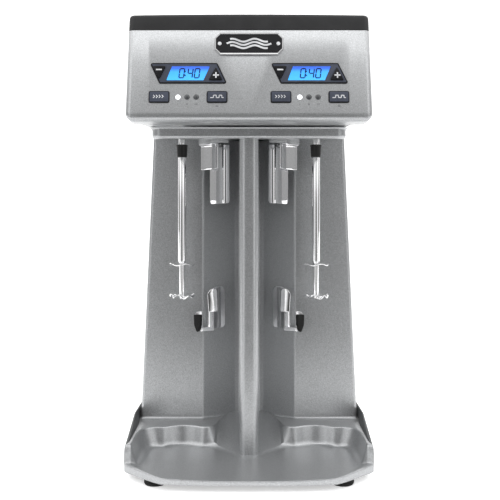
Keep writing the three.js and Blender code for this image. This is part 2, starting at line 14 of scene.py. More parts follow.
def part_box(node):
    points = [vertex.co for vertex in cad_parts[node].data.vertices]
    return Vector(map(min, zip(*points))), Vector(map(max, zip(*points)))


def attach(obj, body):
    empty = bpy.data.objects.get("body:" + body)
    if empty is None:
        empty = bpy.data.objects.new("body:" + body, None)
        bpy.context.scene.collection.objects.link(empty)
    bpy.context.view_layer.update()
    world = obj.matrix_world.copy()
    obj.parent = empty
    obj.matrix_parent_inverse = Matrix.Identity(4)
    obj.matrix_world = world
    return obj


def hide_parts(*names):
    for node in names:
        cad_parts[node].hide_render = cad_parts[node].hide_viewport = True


MM = 0.001
SIDES = (("left", -1), ("right", 1))

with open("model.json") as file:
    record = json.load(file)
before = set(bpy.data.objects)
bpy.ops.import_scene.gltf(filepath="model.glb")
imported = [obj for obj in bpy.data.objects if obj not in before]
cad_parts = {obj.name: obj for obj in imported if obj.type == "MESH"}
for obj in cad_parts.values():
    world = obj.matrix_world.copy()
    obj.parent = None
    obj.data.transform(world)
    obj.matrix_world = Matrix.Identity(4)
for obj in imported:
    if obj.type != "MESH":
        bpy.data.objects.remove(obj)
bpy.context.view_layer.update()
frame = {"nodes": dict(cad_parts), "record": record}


def box_mm(node):
    """A CAD node's lowest and highest corners in millimetres."""
    low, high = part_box(node)
    return [c / MM for c in low], [c / MM for c in high]


# ---- Driving places, read from the frame ----
BASE_HIGH = box_mm("base_tray")[1]
HEAD_LOW, HEAD_HIGH = box_mm("head_housing")
BOSS_LOW, BOSS_HIGH = box_mm("spindle_boss")
COVER_LOW, COVER_HIGH = box_mm("top_cover")
COLUMN_LOW, COLUMN_HIGH = box_mm("column_housing")
SHAFT_LOW, SHAFT_HIGH = box_mm("spindle_shaft_right")
COLLAR_LOW, COLLAR_HIGH = box_mm("spindle_collar_right")

SPINDLE_X = (SHAFT_LOW[0] + SHAFT_HIGH[0]) / 2
SPINDLE_Y = (SHAFT_LOW[1] + SHAFT_HIGH[1]) / 2
LEAN = math.radians(10.23)  # backward lean of the front panel
HEAD_DRAFT = 0.0095         # how fast the head's side walls close in with height
HEAD_FRONT_Y = -82          # front edge of the head's underside, before its roundover
FLOOR_Z = 12.5              # tray floor
RIM_Z = 38                  # tray rim
BANK_Z = 52                 # top of the side banks
FACET_Y = 55                # front plane of the column's outer facets
COLUMN_FOOT_HALF, COLUMN_TOP_HALF = 150.9, 132.1
RIDGE_X = 63.5              # vertical edge between outer facet and inner bay
BAY_X, BAY_Y = 20, 85       # deep corner of the inner bay
FIN_HALF, FIN_FRONT_Y = 12, -29
UNIT_X = 72.8               # middle of each timer unit
LEVER_BEARING = 33.5        # bearing of the lever from the spindle, degrees
LEVER_RADIUS = 54.5
GUIDE_RADIUS = 46
STRIP_X = 127               # outside this half width the head's underside rises to the back
STRIP_SLOPE = math.radians(9.2)
STRIP_Y = -50
BOSS_SLOPE = math.radians(8.3)
BOSS_SLOPE_Y = -22
BORE_RADIUS = 7             # the boss's bore round each spindle
VENT_SPAN = (26, 98)        # reach of each vent screen in X, from the middle
VENT_HEIGHTS = (297, 386)
SCREW_HEIGHTS = (60, 240, 415)


# ---- Materials ----
def new_material(name, color, roughness, metallic=0.0, **sockets):
    """A Principled material. Extra sockets are given by their names with underscores."""
    material = bpy.data.materials.new(name)
    material.use_nodes = True
    shader = material.node_tree.nodes["Principled BSDF"]
    shader.inputs["Base Color"].default_value = (*color, 1)
    shader.inputs["Roughness"].default_value = roughness
    shader.inputs["Metallic"].default_value = metallic
    for socket, value in sockets.items():
        shader.inputs[socket.replace("_", " ")].default_value = value
    return material


def add_noise(material, scale, detail=3.0):
    """A noise texture in object coordinates, so it keeps its size on every piece."""
    tree = material.node_tree
    coords = tree.nodes.new("ShaderNodeTexCoord")
    noise = tree.nodes.new("ShaderNodeTexNoise")
    noise.inputs["Scale"].default_value = scale
    noise.inputs["Detail"].default_value = detail
    tree.links.new(coords.outputs["Object"], noise.inputs["Vector"])
    return noise.outputs["Fac"]


def set_stops(node, stops):
    """Gives a colour ramp its (position, colour) stops."""
    elements = node.color_ramp.elements
    while len(elements) < len(stops):
        elements.new(0.5)
    for element, (position, color) in zip(elements, stops):
        element.position = position
        element.color = (*color, 1)


def vary_color(material, fac, dark, light, low=0.35, high=0.65):
    """Colours the surface between two tones by a texture."""
    tree = material.node_tree
    ramp = tree.nodes.new("ShaderNodeValToRGB")
    set_stops(ramp, ((low, dark), (high, light)))
    shader = tree.nodes["Principled BSDF"]
    tree.links.new(fac, ramp.inputs["Fac"])
    tree.links.new(ramp.outputs["Color"], shader.inputs["Base Color"])


def vary_roughness(material, fac, low, high):
    tree = material.node_tree
    spread = tree.nodes.new("ShaderNodeMapRange")
    spread.inputs["To Min"].default_value = low
    spread.inputs["To Max"].default_value = high
    tree.links.new(fac, spread.inputs["Value"])
    tree.links.new(spread.outputs["Result"], tree.nodes["Principled BSDF"].inputs["Roughness"])


def add_bump(material, fac, strength, distance):
    tree = material.node_tree
    bump = tree.nodes.new("ShaderNodeBump")
    bump.inputs["Strength"].default_value = strength
    bump.inputs["Distance"].default_value = distance
    tree.links.new(fac, bump.inputs["Height"])
    tree.links.new(bump.outputs["Normal"], tree.nodes["Principled BSDF"].inputs["Normal"])


def scaled(color, factor):
    return tuple(c * factor for c in color)


def metallic_paint(name, color):
    """Silver-grey automotive-style paint: fine flakes over a faint orange peel."""
    material = new_material(name, color, 0.32, 0.68, Coat_Weight=0.08, Coat_Roughness=0.3)
    vary_color(material, add_noise(material, 1500, 2), scaled(color, 0.74), scaled(color, 1.24))
    vary_roughness(material, add_noise(material, 40, 4), 0.29, 0.37)
    add_bump(material, add_noise(material, 900, 2), 0.22, 0.0002)
    return material


def moulded_plastic(name, color, roughness, grain=700, strength=0.15):
    material = new_material(name, color, roughness, Specular_IOR_Level=0.28)
    vary_color(material, add_noise(material, 60, 5), scaled(color, 0.85), scaled(color, 1.15))
    vary_roughness(material, add_noise(material, 90, 4), roughness - 0.06, roughness + 0.06)
    add_bump(material, add_noise(material, grain, 3), strength, 0.0002)
    return material


def polished_metal(name, color, roughness=0.06):
    """Bright plated or polished metal with faint handling haze."""
    material = new_material(name, color, roughness, 1.0)
    vary_roughness(material, add_noise(material, 25, 6), roughness * 0.6, roughness * 2.0)
    vary_color(material, add_noise(material, 300, 3), scaled(color, 0.96), color)
    return material


def machined_metal(name, color, roughness):
    material = new_material(name, color, roughness, 1.0)
    vary_roughness(material, add_noise(material, 120, 6), roughness - 0.08, roughness + 0.1)
    vary_color(material, add_noise(material, 220, 4), scaled(color, 0.88), color)
    add_bump(material, add_noise(material, 1400, 2), 0.1, 0.0001)
    return material


def glowing(name, color, strength):
    material = new_material(name, color, 0.2, Coat_Weight=0.4, Coat_Roughness=0.08)
    shader = material.node_tree.nodes["Principled BSDF"]
    shader.inputs["Emission Color"].default_value = (*color, 1)
    shader.inputs["Emission Strength"].default_value = strength
    vary_roughness(material, add_noise(material, 200, 2), 0.16, 0.24)
    return material


def display_glow(name):
    """Backlit blue, brighter low down and fading to a darker strip under the upper edge."""
    material = new_material(name, (0.03, 0.3, 0.8), 0.12, Coat_Weight=0.6, Coat_Roughness=0.04)
    tree = material.node_tree
    coords = tree.nodes.new("ShaderNodeTexCoord")
    split = tree.nodes.new("ShaderNodeSeparateXYZ")
    span = tree.nodes.new("ShaderNodeMapRange")
    window_low, window_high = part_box("display_window_left")
    span.inputs["From Min"].default_value = window_low[2]
    span.inputs["From Max"].default_value = window_high[2]
    ramp = tree.nodes.new("ShaderNodeValToRGB")
    set_stops(ramp, ((0.0, (0.06, 0.42, 0.95)), (0.62, (0.035, 0.32, 0.9)),
                     (0.86, (0.02, 0.1, 0.55))))
    shader = tree.nodes["Principled BSDF"]
    tree.links.new(coords.outputs["Object"], split.inputs["Vector"])
    tree.links.new(split.outputs["Z"], span.inputs["Value"])
    tree.links.new(span.outputs["Result"], ramp.inputs["Fac"])
    tree.links.new(ramp.outputs["Color"], shader.inputs["Base Color"])
    tree.links.new(ramp.outputs["Color"], shader.inputs["Emission Color"])
    shader.inputs["Emission Strength"].default_value = 0.75
    return material


SILVER = metallic_paint("silver_paint", (0.43, 0.438, 0.446))
# Painted shade: the side banks are the silver casting, given this dark grey in place of the shade that
# falls on their inward faces.
BANK_SHADE_GREY = moulded_plastic("side_painted_shade", (0.075, 0.078, 0.08), 0.5)
COVER_BLACK = moulded_plastic("cover_black", (0.022, 0.022, 0.023), 0.42)
RUBBER = moulded_plastic("black_rubber", (0.008, 0.008, 0.008), 0.72, 500, 0.3)
COLLAR = moulded_plastic("collar_rubber", (0.01, 0.01, 0.01), 0.4, 500, 0.1)
SLATE = moulded_plastic("slate_plastic", (0.062, 0.070, 0.098), 0.5)
KEY_BLACK = moulded_plastic("key_black", (0.006, 0.006, 0.008), 0.35)
OUTLINE_BLACK = moulded_plastic("outline_black", (0.006, 0.006, 0.008), 0.5)
WHITE_PRINT = moulded_plastic("white_print", (0.75, 0.76, 0.78), 0.5)
GREY_PRINT = moulded_plastic("grey_print", (0.16, 0.165, 0.17), 0.5)
CHROME = polished_metal("bracket_chrome", (0.86, 0.86, 0.87))
SPINDLE = polished_metal("spindle_chrome", (0.88, 0.88, 0.885), 0.08)
STEEL = machined_metal("motor_steel", (0.42, 0.43, 0.44), 0.35)
BOARD = moulded_plastic("circuit_board", (0.015, 0.1, 0.045), 0.45)
LCD = display_glow("display_blue")
LCD_INK = new_material("display_ink", (0.004, 0.012, 0.09), 0.35, Specular_IOR_Level=0.2)
vary_roughness(LCD_INK, add_noise(LCD_INK, 300), 0.3, 0.4)
LAMP_LIT = glowing("lamp_lit", (0.95, 0.97, 1.0), 1.6)
LAMP_OFF = new_material("lamp_off", (0.05, 0.053, 0.058), 0.18, Coat_Weight=0.5)
vary_roughness(LAMP_OFF, add_noise(LAMP_OFF, 300), 0.14, 0.24)


# ---- Mesh helpers ----
def arc_corners(points, steps=6):
    """An outline of 2-D points (x, y) or (x, y, radius), with true arcs at the radii."""
    result = []
    for i, point in enumerate(points):
        corner = Vector(point[:2])
        radius = point[2] if len(point) > 2 else 0
        if not radius:
            result.append(corner)
            continue
        before = (Vector(points[i - 1][:2]) - corner).normalized()
        after = (Vector(points[(i + 1) % len(points)][:2]) - corner).normalized()
        half = before.angle(after) / 2
        centre = corner + (before + after).normalized() * radius / math.sin(half)
        start = corner + before * radius / math.tan(half) - centre
        end = corner + after * radius / math.tan(half) - centre
        turn = start.angle(end)
        for k in range(steps + 1):
            part = k / steps
            swept = start * math.sin((1 - part) * turn) + end * math.sin(part * turn)
            result.append(centre + swept / math.sin(turn))
    return result


def spline(points, steps):
    """A Catmull-Rom curve through tuples of any length, with `steps` pieces per span."""
    points = [Vector(p) for p in points]
    result = []
    for i in range(len(points) - 1):
        p0 = points[max(i - 1, 0)]
        p1, p2 = points[i], points[i + 1]
        p3 = points[min(i + 2, len(points) - 1)]
        for k in range(steps):
            t = k / steps
            result.append(
                p1 + (p2 - p0) * (t / 2)
                + (p0 * 2 - p1 * 5 + p2 * 4 - p3) * (t * t / 2)
                + (p1 * 3 - p0 - p2 * 3 + p3) * (t ** 3 / 2))
    result.append(points[-1])
    return result


def loft(rings, closed_ends=True):
    """A tube through rings of the same number of points, with its ends closed."""
    bm = bmesh.new()
    levels = [[bm.verts.new(p) for p in ring] for ring in rings]
    count = len(levels[0])
    for lower, upper in zip(levels, levels[1:]):
        for i in range(count):
            j = (i + 1) % count
            bm.faces.new((lower[i], lower[j], upper[j], upper[i]))
    if closed_ends:
        bm.faces.new(levels[0][::-1])
        bm.faces.new(levels[-1])
    return bm


def flat_ring(points, z):
    return [Vector((p[0], p[1], z)) for p in points]


def inset_ring(points, inset):
    """Points of a closed outline moved inwards by a distance along their normals."""
    result = []
    count = len(points)
    area = sum(points[i - 1][0] * points[i][1] - points[i][0] * points[i - 1][1]
               for i in range(count))
    side = 1 if area > 0 else -1
    for i, point in enumerate(points):
        before, after = Vector(points[i - 1][:2]), Vector(points[(i + 1) % count][:2])
        along = (after - before).normalized()
        inward = Vector((-along.y, along.x)) * side
        result.append(Vector(point[:2]) + inward * inset)
    return result


def rounded_prism(points, bottom, top, edge=0.6, steps=3, foot_edge=0.0):
    """An extruded outline whose upper edge is rounded over, and its lower one if asked."""
    rings = []
    if foot_edge:
        for k in range(steps):
            t = k / steps * math.pi / 2
            rings.append(flat_ring(inset_ring(points, foot_edge * (1 - math.sin(t))),
                                   bottom + foot_edge * (1 - math.cos(t))))
    rings.append(flat_ring(points, bottom + foot_edge))
    for k in range(steps + 1):
        t = k / steps * math.pi / 2
        rings.append(flat_ring(inset_ring(points, edge * (1 - math.cos(t))),
                               top - edge + edge * math.sin(t)))
    return loft(rings)


def lathe(profile, centre=(0, 0), segments=48):
    """A solid of revolution about a vertical axis. A radius of 0 makes a pole."""
    bm = bmesh.new()
    rows = []
    for radius, z in profile:
        if radius == 0:
            rows.append([bm.verts.new((centre[0], centre[1], z))])
            continue
        rows.append([
            bm.verts.new((centre[0] + radius * math.cos(2 * math.pi * i / segments),
                          centre[1] + radius * math.sin(2 * math.pi * i / segments), z))
            for i in range(segments)])
    for lower, upper in zip(rows, rows[1:]):
        for i in range(segments):
            j = (i + 1) % segments
            corners = [lower[i % len(lower)], lower[j % len(lower)],
                       upper[j % len(upper)], upper[i % len(upper)]]
            unique = list(dict.fromkeys(corners))
            if len(unique) > 2:
                bm.faces.new(unique)
    return bm


def ring_lathe(profile, centre=(0, 0), segments=48):
    """A solid of revolution whose profile closes on itself, away from the axis."""
    return lathe([*profile, profile[0]], centre, segments)


def to_mesh(bm, name):
    """Makes a mesh from a bmesh, which is freed."""
    mesh = bpy.data.meshes.new(name)
    bm.to_mesh(mesh)
    bm.free()
    return mesh


def add_object(name, data):
    obj = bpy.data.objects.new(name, data)
    bpy.context.scene.collection.objects.link(obj)
    return obj


def shade(bm, crease):
    """Shades faces smooth and leaves edges sharp past the crease angle."""
    for face in bm.faces:
        face.smooth = True
    for edge in bm.edges:
        edge.smooth = not edge.is_manifold or edge.calc_face_angle(0) < math.radians(crease)


def merge(*meshes):
    whole = bmesh.new()
    for bm in meshes:
        temporary = to_mesh(bm, "part")
        whole.from_mesh(temporary)
        bpy.data.meshes.remove(temporary)
    return whole


def moved(bm, matrix):
    bm.transform(matrix)
    return bm


def round_edges(bm, edges, width, segments=2):
    bmesh.ops.bevel(bm, geom=edges, offset=width, segments=segments, profile=0.5,
                    affect="EDGES", clamp_overlap=True)
    return bm


def sharper(bm, angle):
    """The edges whose faces meet at more than an angle."""
    return [e for e in bm.edges if e.is_manifold and e.calc_face_angle(0) > math.radians(angle)]


def bevelled(bm, width):
    """Joins flat faces and rounds the edges between the rest."""
    bmesh.ops.remove_doubles(bm, verts=bm.verts, dist=1e-4)
    bmesh.ops.dissolve_limit(bm, angle_limit=math.radians(1), verts=bm.verts, edges=bm.edges)
    return round_edges(bm, sharper(bm, 30), width)


def piece(name, bm, material, body="root", node=None, crease=35):
    """Makes an object from a mesh in millimetres, shades it and fixes it to its body."""
    bmesh.ops.remove_doubles(bm, verts=bm.verts, dist=1e-4)
    bmesh.ops.recalc_face_normals(bm, faces=bm.faces)
    shade(bm, crease)
    bmesh.ops.scale(bm, vec=(MM, MM, MM), verts=bm.verts)
    mesh = to_mesh(bm, name)
    mesh.materials.append(material)
    obj = add_object(name, mesh)
    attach(obj, body)
    if node:
        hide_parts(node)
    return obj


def cut_out(obj, *cutters):
    """Cuts closed meshes, given in millimetres, out of a piece."""
    tool_bm = merge(*cutters)
    bmesh.ops.recalc_face_normals(tool_bm, faces=tool_bm.faces)
    bmesh.ops.scale(tool_bm, vec=(MM, MM, MM), verts=tool_bm.verts)
    tool_mesh = to_mesh(tool_bm, "cutter")
    tool = add_object("cutter", tool_mesh)
    modifier = obj.modifiers.new("cut", "BOOLEAN")
    modifier.operation = "DIFFERENCE"
    modifier.solver = "EXACT"
    modifier.object = tool
    view = bpy.context.evaluated_depsgraph_get()
    result = bpy.data.meshes.new_from_object(obj.evaluated_get(view))
    obj.modifiers.clear()
    old = obj.data
    obj.data = result
    bpy.data.objects.remove(tool)
    bpy.data.meshes.remove(tool_mesh)
    bpy.data.meshes.remove(old)
    bm = bmesh.new()
    bm.from_mesh(obj.data)
    shade(bm, 35)
    bm.to_mesh(obj.data)
    bm.free()


# ---- Camera, light and floor ----
def make_camera():
    data = bpy.data.cameras.new("camera")
    data.sensor_width = 36
    data.lens = 50.23
    data.shift_x = 0.002
    data.shift_y = -0.036
    camera = add_object("camera", data)
    camera.location = (0, -0.910, 0.296)
    camera.rotation_euler = (math.pi / 2, 0, 0)
    bpy.context.scene.camera = camera


def area_light(name, place, target, size, watts):
    data = bpy.data.lights.new(name, "AREA")
    data.shape = "RECTANGLE"
    data.size, data.size_y = size
    data.energy = watts
    light = add_object(name, data)
    light.location = place
    aim = Vector(target) - Vector(place)
    light.rotation_euler = aim.to_track_quat("-Z", "Y").to_euler()


def make_stage():
    """A pale sweep: a floor that curves up into a wall far behind the object."""
    profile = [Vector((-0.45, 0.0)), Vector((1.6, 0.0))]
    profile += [Vector((1.6 + math.sin(a) * 1.2, 1.2 - math.cos(a) * 1.2))
                for a in (math.pi / 2 * k / 16 for k in range(1, 17))]
    profile.append(Vector((2.8, 4.0)))
    bm = bmesh.new()
    rows = [[bm.verts.new((x, p.x, p.y)) for x in (-5, 5)] for p in profile]
    for near, far in zip(rows, rows[1:]):
        bm.faces.new((near[0], near[1], far[1], far[0]))
    for face in bm.faces:
        face.smooth = True
    mesh = to_mesh(bm, "floor_sweep")
    paper = new_material("white_paper", (0.9, 0.9, 0.9), 0.85)
    shader = paper.node_tree.nodes["Principled BSDF"]
    shader.inputs["Emission Color"].default_value = (1, 1, 1, 1)
    shader.inputs["Emission Strength"].default_value = 0.5
    vary_color(paper, add_noise(paper, 8, 2), (0.89, 0.89, 0.89), (0.91, 0.91, 0.91))
    mesh.materials.append(paper)
    add_object("floor_sweep", mesh)


def ramp(tree, value, stops):
    """A brightness curve through (place, brightness) stops."""
    node = tree.nodes.new("ShaderNodeValToRGB")
    node.color_ramp.interpolation = "EASE"
    set_stops(node, [(place, (level,) * 3) for place, level in stops])
    tree.links.new(value, node.inputs["Fac"])
    return node.outputs["Color"]


def combine(tree, operation, first, second):
    node = tree.nodes.new("ShaderNodeMath")
    node.operation = operation
    for socket, value in zip(node.inputs, (first, second)):
        if isinstance(value, (int, float)):
            socket.default_value = value
        else:
            tree.links.new(value, socket)
    return node.outputs[0]


WORLD_STRENGTH = 0.62


def make_world():
    """A studio of two tall soft boxes beside the camera, a bright ceiling and dim sides."""
    world = bpy.data.worlds.new("studio")
    world.use_nodes = True
    tree = world.node_tree
    coords = tree.nodes.new("ShaderNodeTexCoord")
    split = tree.nodes.new("ShaderNodeSeparateXYZ")
    tree.links.new(coords.outputs["Generated"], split.inputs["Vector"])
    sideways = combine(tree, "ABSOLUTE", split.outputs["X"], 0)
    boxes = ramp(tree, sideways, ((0.0, 0.06), (0.28, 0.12), (0.44, 1.9), (0.66, 1.9),
                                  (0.82, 0.5), (1.0, 0.6)))
    ceiling = ramp(tree, split.outputs["Z"],
                   ((0.0, 0.0), (0.14, 0.05), (0.4, 0.75), (0.7, 1.3), (1.0, 1.3)))
    total = combine(tree, "ADD", boxes, ceiling)
    strength = combine(tree, "MULTIPLY", total, WORLD_STRENGTH)
    tree.nodes["Background"].inputs["Color"].default_value = (1, 1, 1, 1)
    tree.links.new(strength, tree.nodes["Background"].inputs["Strength"])
    bpy.context.scene.world = world


def make_studio():
    make_camera()
    make_stage()
    make_world()
    area_light("key", (0, -0.75, 2.1), (0, 0, 0.2), (1.5, 0.5), 6)
    bpy.context.scene.view_settings.view_transform = "Standard"


# ---- Base ----
# Half of the tray, from the middle of the front to the middle of the back. Each row is one
# ray outwards: the foot of the pocket's wall, the wall's upper edge, that edge's height, the
# outer edge, and the roundover of the upper edge.
TRAY_RAYS = (
    ((0, -113.6), (0, -115.9), 13.6, (0, -119.8), 1.0),
    ((50, -113.0), (50, -115.4), 13.8, (50, -119.2), 1.0),
    ((90, -110.0), (92, -112.8), 15.0, (93, -116.4), 1.0),
    ((100, -106.5), (104, -109.3), 16.0, (106.5, -112.0), 1.0),
    ((114, -95), (118.5, -97.6), 16.6, (121.5, -100.0), 1.0),
    ((127, -81), (133, -84.5), 17.2, (137, -86.5), 1.0),
    ((133, -70), (142.2, -74.0), 18.0, (148.0, -76.0), 1.2),
    ((135, -63), (143.0, -67.5), 18.4, (150.4, -70.5), 1.4),
    ((136.5, -57), (143.2, -64.0), 37.0, (150.8, -65.5), 1.8),
    ((137, -46), (143.3, -50), 38.0, (151.0, -50), 2.2),
    ((137, -22), (143.5, -22), 38.0, (152.5, -22), 2.4),
    ((135.5, -4), (142.0, -4), 38.0, (153.5, 2), 2.4),
    ((130, 5.5), (137.5, 8), 38.0, (154.6, 40), 2.4),
    ((121, 10), (127, 13.5), 38.0, (154.6, 85), 2.4),
    ((111, 12), (113, 15.6), 37.6, (154.0, 118), 2.4),
    ((100, 17), (101, 20.6), 38.0, (125, 119.5), 2.4),
    ((88, 19.5), (88, 23), 38.0, (98, 119.5), 2.4),
    ((75, 17.2), (74, 20.6), 38.0, (78, 119.5), 2.4),
    ((62, 12), (60.5, 15.8), 37.6, (62, 119.5), 2.4),
    ((54, 11.5), (51.5, 17), 38.0, (48, 119.5), 2.4),
    ((47, 8), (45, 26), 38.3, (38, 119.5), 3.0),
    ((40, 1), (40, 46), 39.4, (28, 119.5), 4.0),
    ((31, -9), (32, 66), 41.0, (19, 119.5), 4.0),
    ((21, -20), (22, 80), 43.0, (12, 119.5), 4.0),
    ((12, -29.5), (12, 86), 44.0, (6, 119.5), 4.0),
    ((0, -36), (0, 88), 44.0, (0, 119.5), 4.0),
)
FLOOR_FILLET = 7
BASE_FOOT_Z = 8


def tray_loops(steps=8):
    """The full closed loop of rays: foot, rim, height, outer edge and roundover."""
    rows = [(*foot, *rim, height, *outer, edge) for foot, rim, height, outer, edge in TRAY_RAYS]
    half = spline(rows, steps)
    for row in half:
        row[5] = min(row[5], BASE_HIGH[0] - 0.2)
        row[6] = min(row[6], BASE_HIGH[1] - 0.2)
    mirror = [Vector((-r[0], r[1], -r[2], r[3], r[4], -r[5], r[6], r[7])) for r in half[-2:0:-1]]
    return half + mirror


def corner_curve(before, corner, after, steps):
    """A quadratic curve that rounds a corner of a profile."""
    return [before.lerp(corner, k / steps).lerp(corner.lerp(after, k / steps), k / steps)
            for k in range(steps + 1)]


def make_base():
    profiles = []
    for ray in tray_loops():
        foot, rim, height = Vector(ray[0:2]), Vector(ray[2:4]), ray[4]
        outer, edge = Vector(ray[5:7]), ray[7]
        inwards = (foot - rim).normalized()
        outwards = (outer - rim).normalized()
        low = Vector((foot.x, foot.y, FLOOR_Z))
        high = Vector((rim.x, rim.y, height))
        slope = high - low
        fillet = min(FLOOR_FILLET, slope.length * 0.6)
        into_floor = low + Vector((inwards.x, inwards.y, 0)) * fillet
        ledge_reach = min(edge, (outer - rim).length * 0.45)
        ledge = high + Vector((outwards.x, outwards.y, 0)) * ledge_reach
        points = corner_curve(into_floor, low, low + slope.normalized() * fillet, 6)
        points += corner_curve(high - slope.normalized() * min(edge, slope.length * 0.35),
                               high, ledge, 5)
        side_top = min(height, RIM_Z)
        shoulder = Vector((outer.x, outer.y, side_top))
        inner_shoulder = shoulder - Vector((outwards.x, outwards.y, 0)) * ledge_reach
        drop = shoulder - Vector((0, 0, min(2.0, ledge_reach * 1.2)))
        points += corner_curve(inner_shoulder, shoulder, drop, 4)
        points.append(Vector((outer.x, outer.y, BASE_FOOT_Z + 0.8)))
        points.append(Vector((outer.x * 0.994, outer.y * 0.994, BASE_FOOT_Z)))
        profiles.append(points)
    rings = [list(ring) for ring in zip(*profiles)]
    return loft(rings)


def make_bank(side):
    """The side wall's upper part, which rises from the cheek to the back."""
    stations = ((-61, 147.6, 150.6, 38.0), (-52, 147.3, 151.0, 38.6), (-30, 147.2, 152.2, 42.0),
                (0, 147.4, 153.4, 46.4), (20, 147.8, 154.2, 49.6), (34, 148.6, 154.7, BANK_Z),
                (54, 151.0, 154.7, BANK_Z), (107, 151.0, 154.7, BANK_Z))
    foot = RIM_Z - 1.6
    rings = []
    for y, inner, outer, top in stations:
        rise = max(top - RIM_Z, 0.2)
        lean = inner + (outer - 2.0 - inner) * min(rise / 14, 1)
        section = [(inner, foot), (inner, RIM_Z - 0.4), (lean, top - 0.5), (lean + 0.6, top),
                   (outer - 0.8, top), (outer, top - 0.8), (outer, foot)]
        rings.append([Vector((side * x, y, z)) for x, z in section])
    return loft(rings)


def make_foot(x, y):
    top = BASE_FOOT_Z
    profile = [(0, 0), (11.2, 0), (12.8, 0.5), (13.6, 1.8), (13.8, 3.4), (13.2, 4.0), (13.2, 4.8),
               (13.8, 5.4), (13.8, top - 0.4), (0, top - 0.4)]
    return lathe(profile, (x, y))


def build_base():
    piece("tray_casting", make_base(), SILVER, node="base_tray", crease=50)
    for side_name, side in SIDES:
        # The banks get the dark grey painted shade instead of the silver paint.
        piece(f"side_bank_{side_name}", bevelled(make_bank(side), 0.4), BANK_SHADE_GREY)
        for end in ("front", "rear"):
            node = f"foot_{end}_{side_name}"
            low, high = box_mm(node)
            centre = ((low[0] + high[0]) / 2, (low[1] + high[1]) / 2)
            piece(f"rubber_{node}", make_foot(*centre), RUBBER, node=node)


# ---- Column ----
def column_outline(z):
    """The column's outline in plan at a height, a closed loop of points."""
    rise = (z - COLUMN_LOW[2]) / (HEAD_LOW[2] - COLUMN_LOW[2])
    half = COLUMN_FOOT_HALF + (COLUMN_TOP_HALF - COLUMN_FOOT_HALF) * rise
    flare = 0.0
    foot = z - RIM_Z
    fillet = 4.0
    if foot < fillet:
        flare = fillet - math.sqrt(max(fillet ** 2 - (fillet - max(foot, 0)) ** 2, 0))
    crease_z = 165
    bay_y = BAY_Y - max(crease_z - z, 0) * 0.05
    half_path = [
        (half, COLUMN_HIGH[1]), (half + flare * 0.6, FACET_Y - flare, 4.5),
        (RIDGE_X, FACET_Y - flare, 9), (BAY_X, bay_y, 7), (FIN_HALF, bay_y + 1.5, 3),
        (FIN_HALF, FIN_FRONT_Y, 7.5),
    ]
    mirror = [(-p[0], *p[1:]) for p in half_path[::-1]]
    return arc_corners(half_path + mirror, 6)


def strip_rise(y):
    """How far the head's underside has risen at a depth, at its outer strips."""
    return max(y - STRIP_Y, 0) * math.tan(STRIP_SLOPE)


def build_column():
    foot = FLOOR_Z - 0.5
    heights = [foot, RIM_Z] + [RIM_Z + 4 * k / 6 for k in range(1, 7)]
    heights += [60, 100, 140, 163, 167, 200, 260, 320, 380, HEAD_LOW[2] - 0.2]
    rings = [flat_ring(column_outline(z), z) for z in heights]
    piece("column_casting", loft(rings), SILVER, node="column_housing",
          crease=50)
    for side_name, side in SIDES:
        corner = arc_corners([(side * x, y, *r) for x, y, *r in (
            (STRIP_X + 0.3, COLUMN_HIGH[1]), (STRIP_X + 0.3, FACET_Y),
            (COLUMN_TOP_HALF, FACET_Y, 4), (COLUMN_TOP_HALF, COLUMN_HIGH[1]))], 6)
        rings = [flat_ring(corner, HEAD_LOW[2] - 8),
                 [Vector((p.x, p.y, HEAD_LOW[2] - 0.3 + strip_rise(p.y))) for p in corner]]
        piece(f"column_horn_{side_name}", loft(rings), SILVER)


# ---- Head ----
def front_y(z):
    return HEAD_FRONT_Y + (z - HEAD_LOW[2]) * math.tan(LEAN)


def head_ring(z, inset, corner=7, lift=0.0, underside=False):
    """The head's outline in plan at a height, inset from its walls.

    `lift` crowns a ring across its width, and the underside's outer strips rise to the back.
    """
    half = HEAD_HIGH[0]
    x = half - (z - HEAD_LOW[2]) * HEAD_DRAFT - inset
    front, back = front_y(z) + inset, HEAD_HIGH[1] - inset
    radius = max(corner - inset, 2)
    reach = x - radius - 0.1
    stops = [min(stop, reach) for stop in (30, 60, 90, STRIP_X - 4.3, STRIP_X - 0.7)]
    across = [-stop for stop in stops[::-1]] + [0] + stops
    bend = min(max(STRIP_Y, front + radius + 0.1), back - radius - 0.1)
    points = arc_corners(
        [(-x, front, radius)] + [(stop, front) for stop in across]
        + [(x, front, radius), (x, bend), (x, back, radius)]
        + [(stop, back) for stop in across[::-1]] + [(-x, back, radius), (-x, bend)], 8)
    ring = []
    for p in points:
        outer = min(max((abs(p.x) - STRIP_X + 4.3) / 3.6, 0), 1) if underside else 0
        ring.append(Vector((p.x, p.y, z - lift * (p.x / half) ** 2 + strip_rise(p.y) * outer)))
    return ring


def make_head_shell():
    bottom, top = HEAD_LOW[2], HEAD_HIGH[2]
    radius = 10.5
    rings = [head_ring(bottom, 23.6, underside=True), head_ring(bottom, 17, underside=True)]
    for k in range(10):
        t = math.pi / 2 * k / 9
        rings.append(head_ring(bottom + radius * (1 - math.cos(t)), radius * (1 - math.sin(t)),
                               underside=True))
    rings.append(head_ring(top - 0.8, 0))
    rings.append(head_ring(top, 0.6))
    return loft(rings)


def make_cover():
    """The black cover: a slightly crowned lid with a rounded edge."""
    foot, top = COVER_LOW[2], COVER_HIGH[2]
    crown = 1.2
    radius = 4.5
    rings = [head_ring(foot, 0.5), head_ring(foot + 0.5, 0.0)]
    for k in range(9):
        t = math.pi / 2 * k / 8
        rings.append(head_ring(top - radius * (1 - math.sin(t)), radius * (1 - math.cos(t)),
                               lift=crown))
    for inset in (12, 30, 60, 84):
        rings.append(head_ring(top, inset, lift=crown))
    return loft(rings)


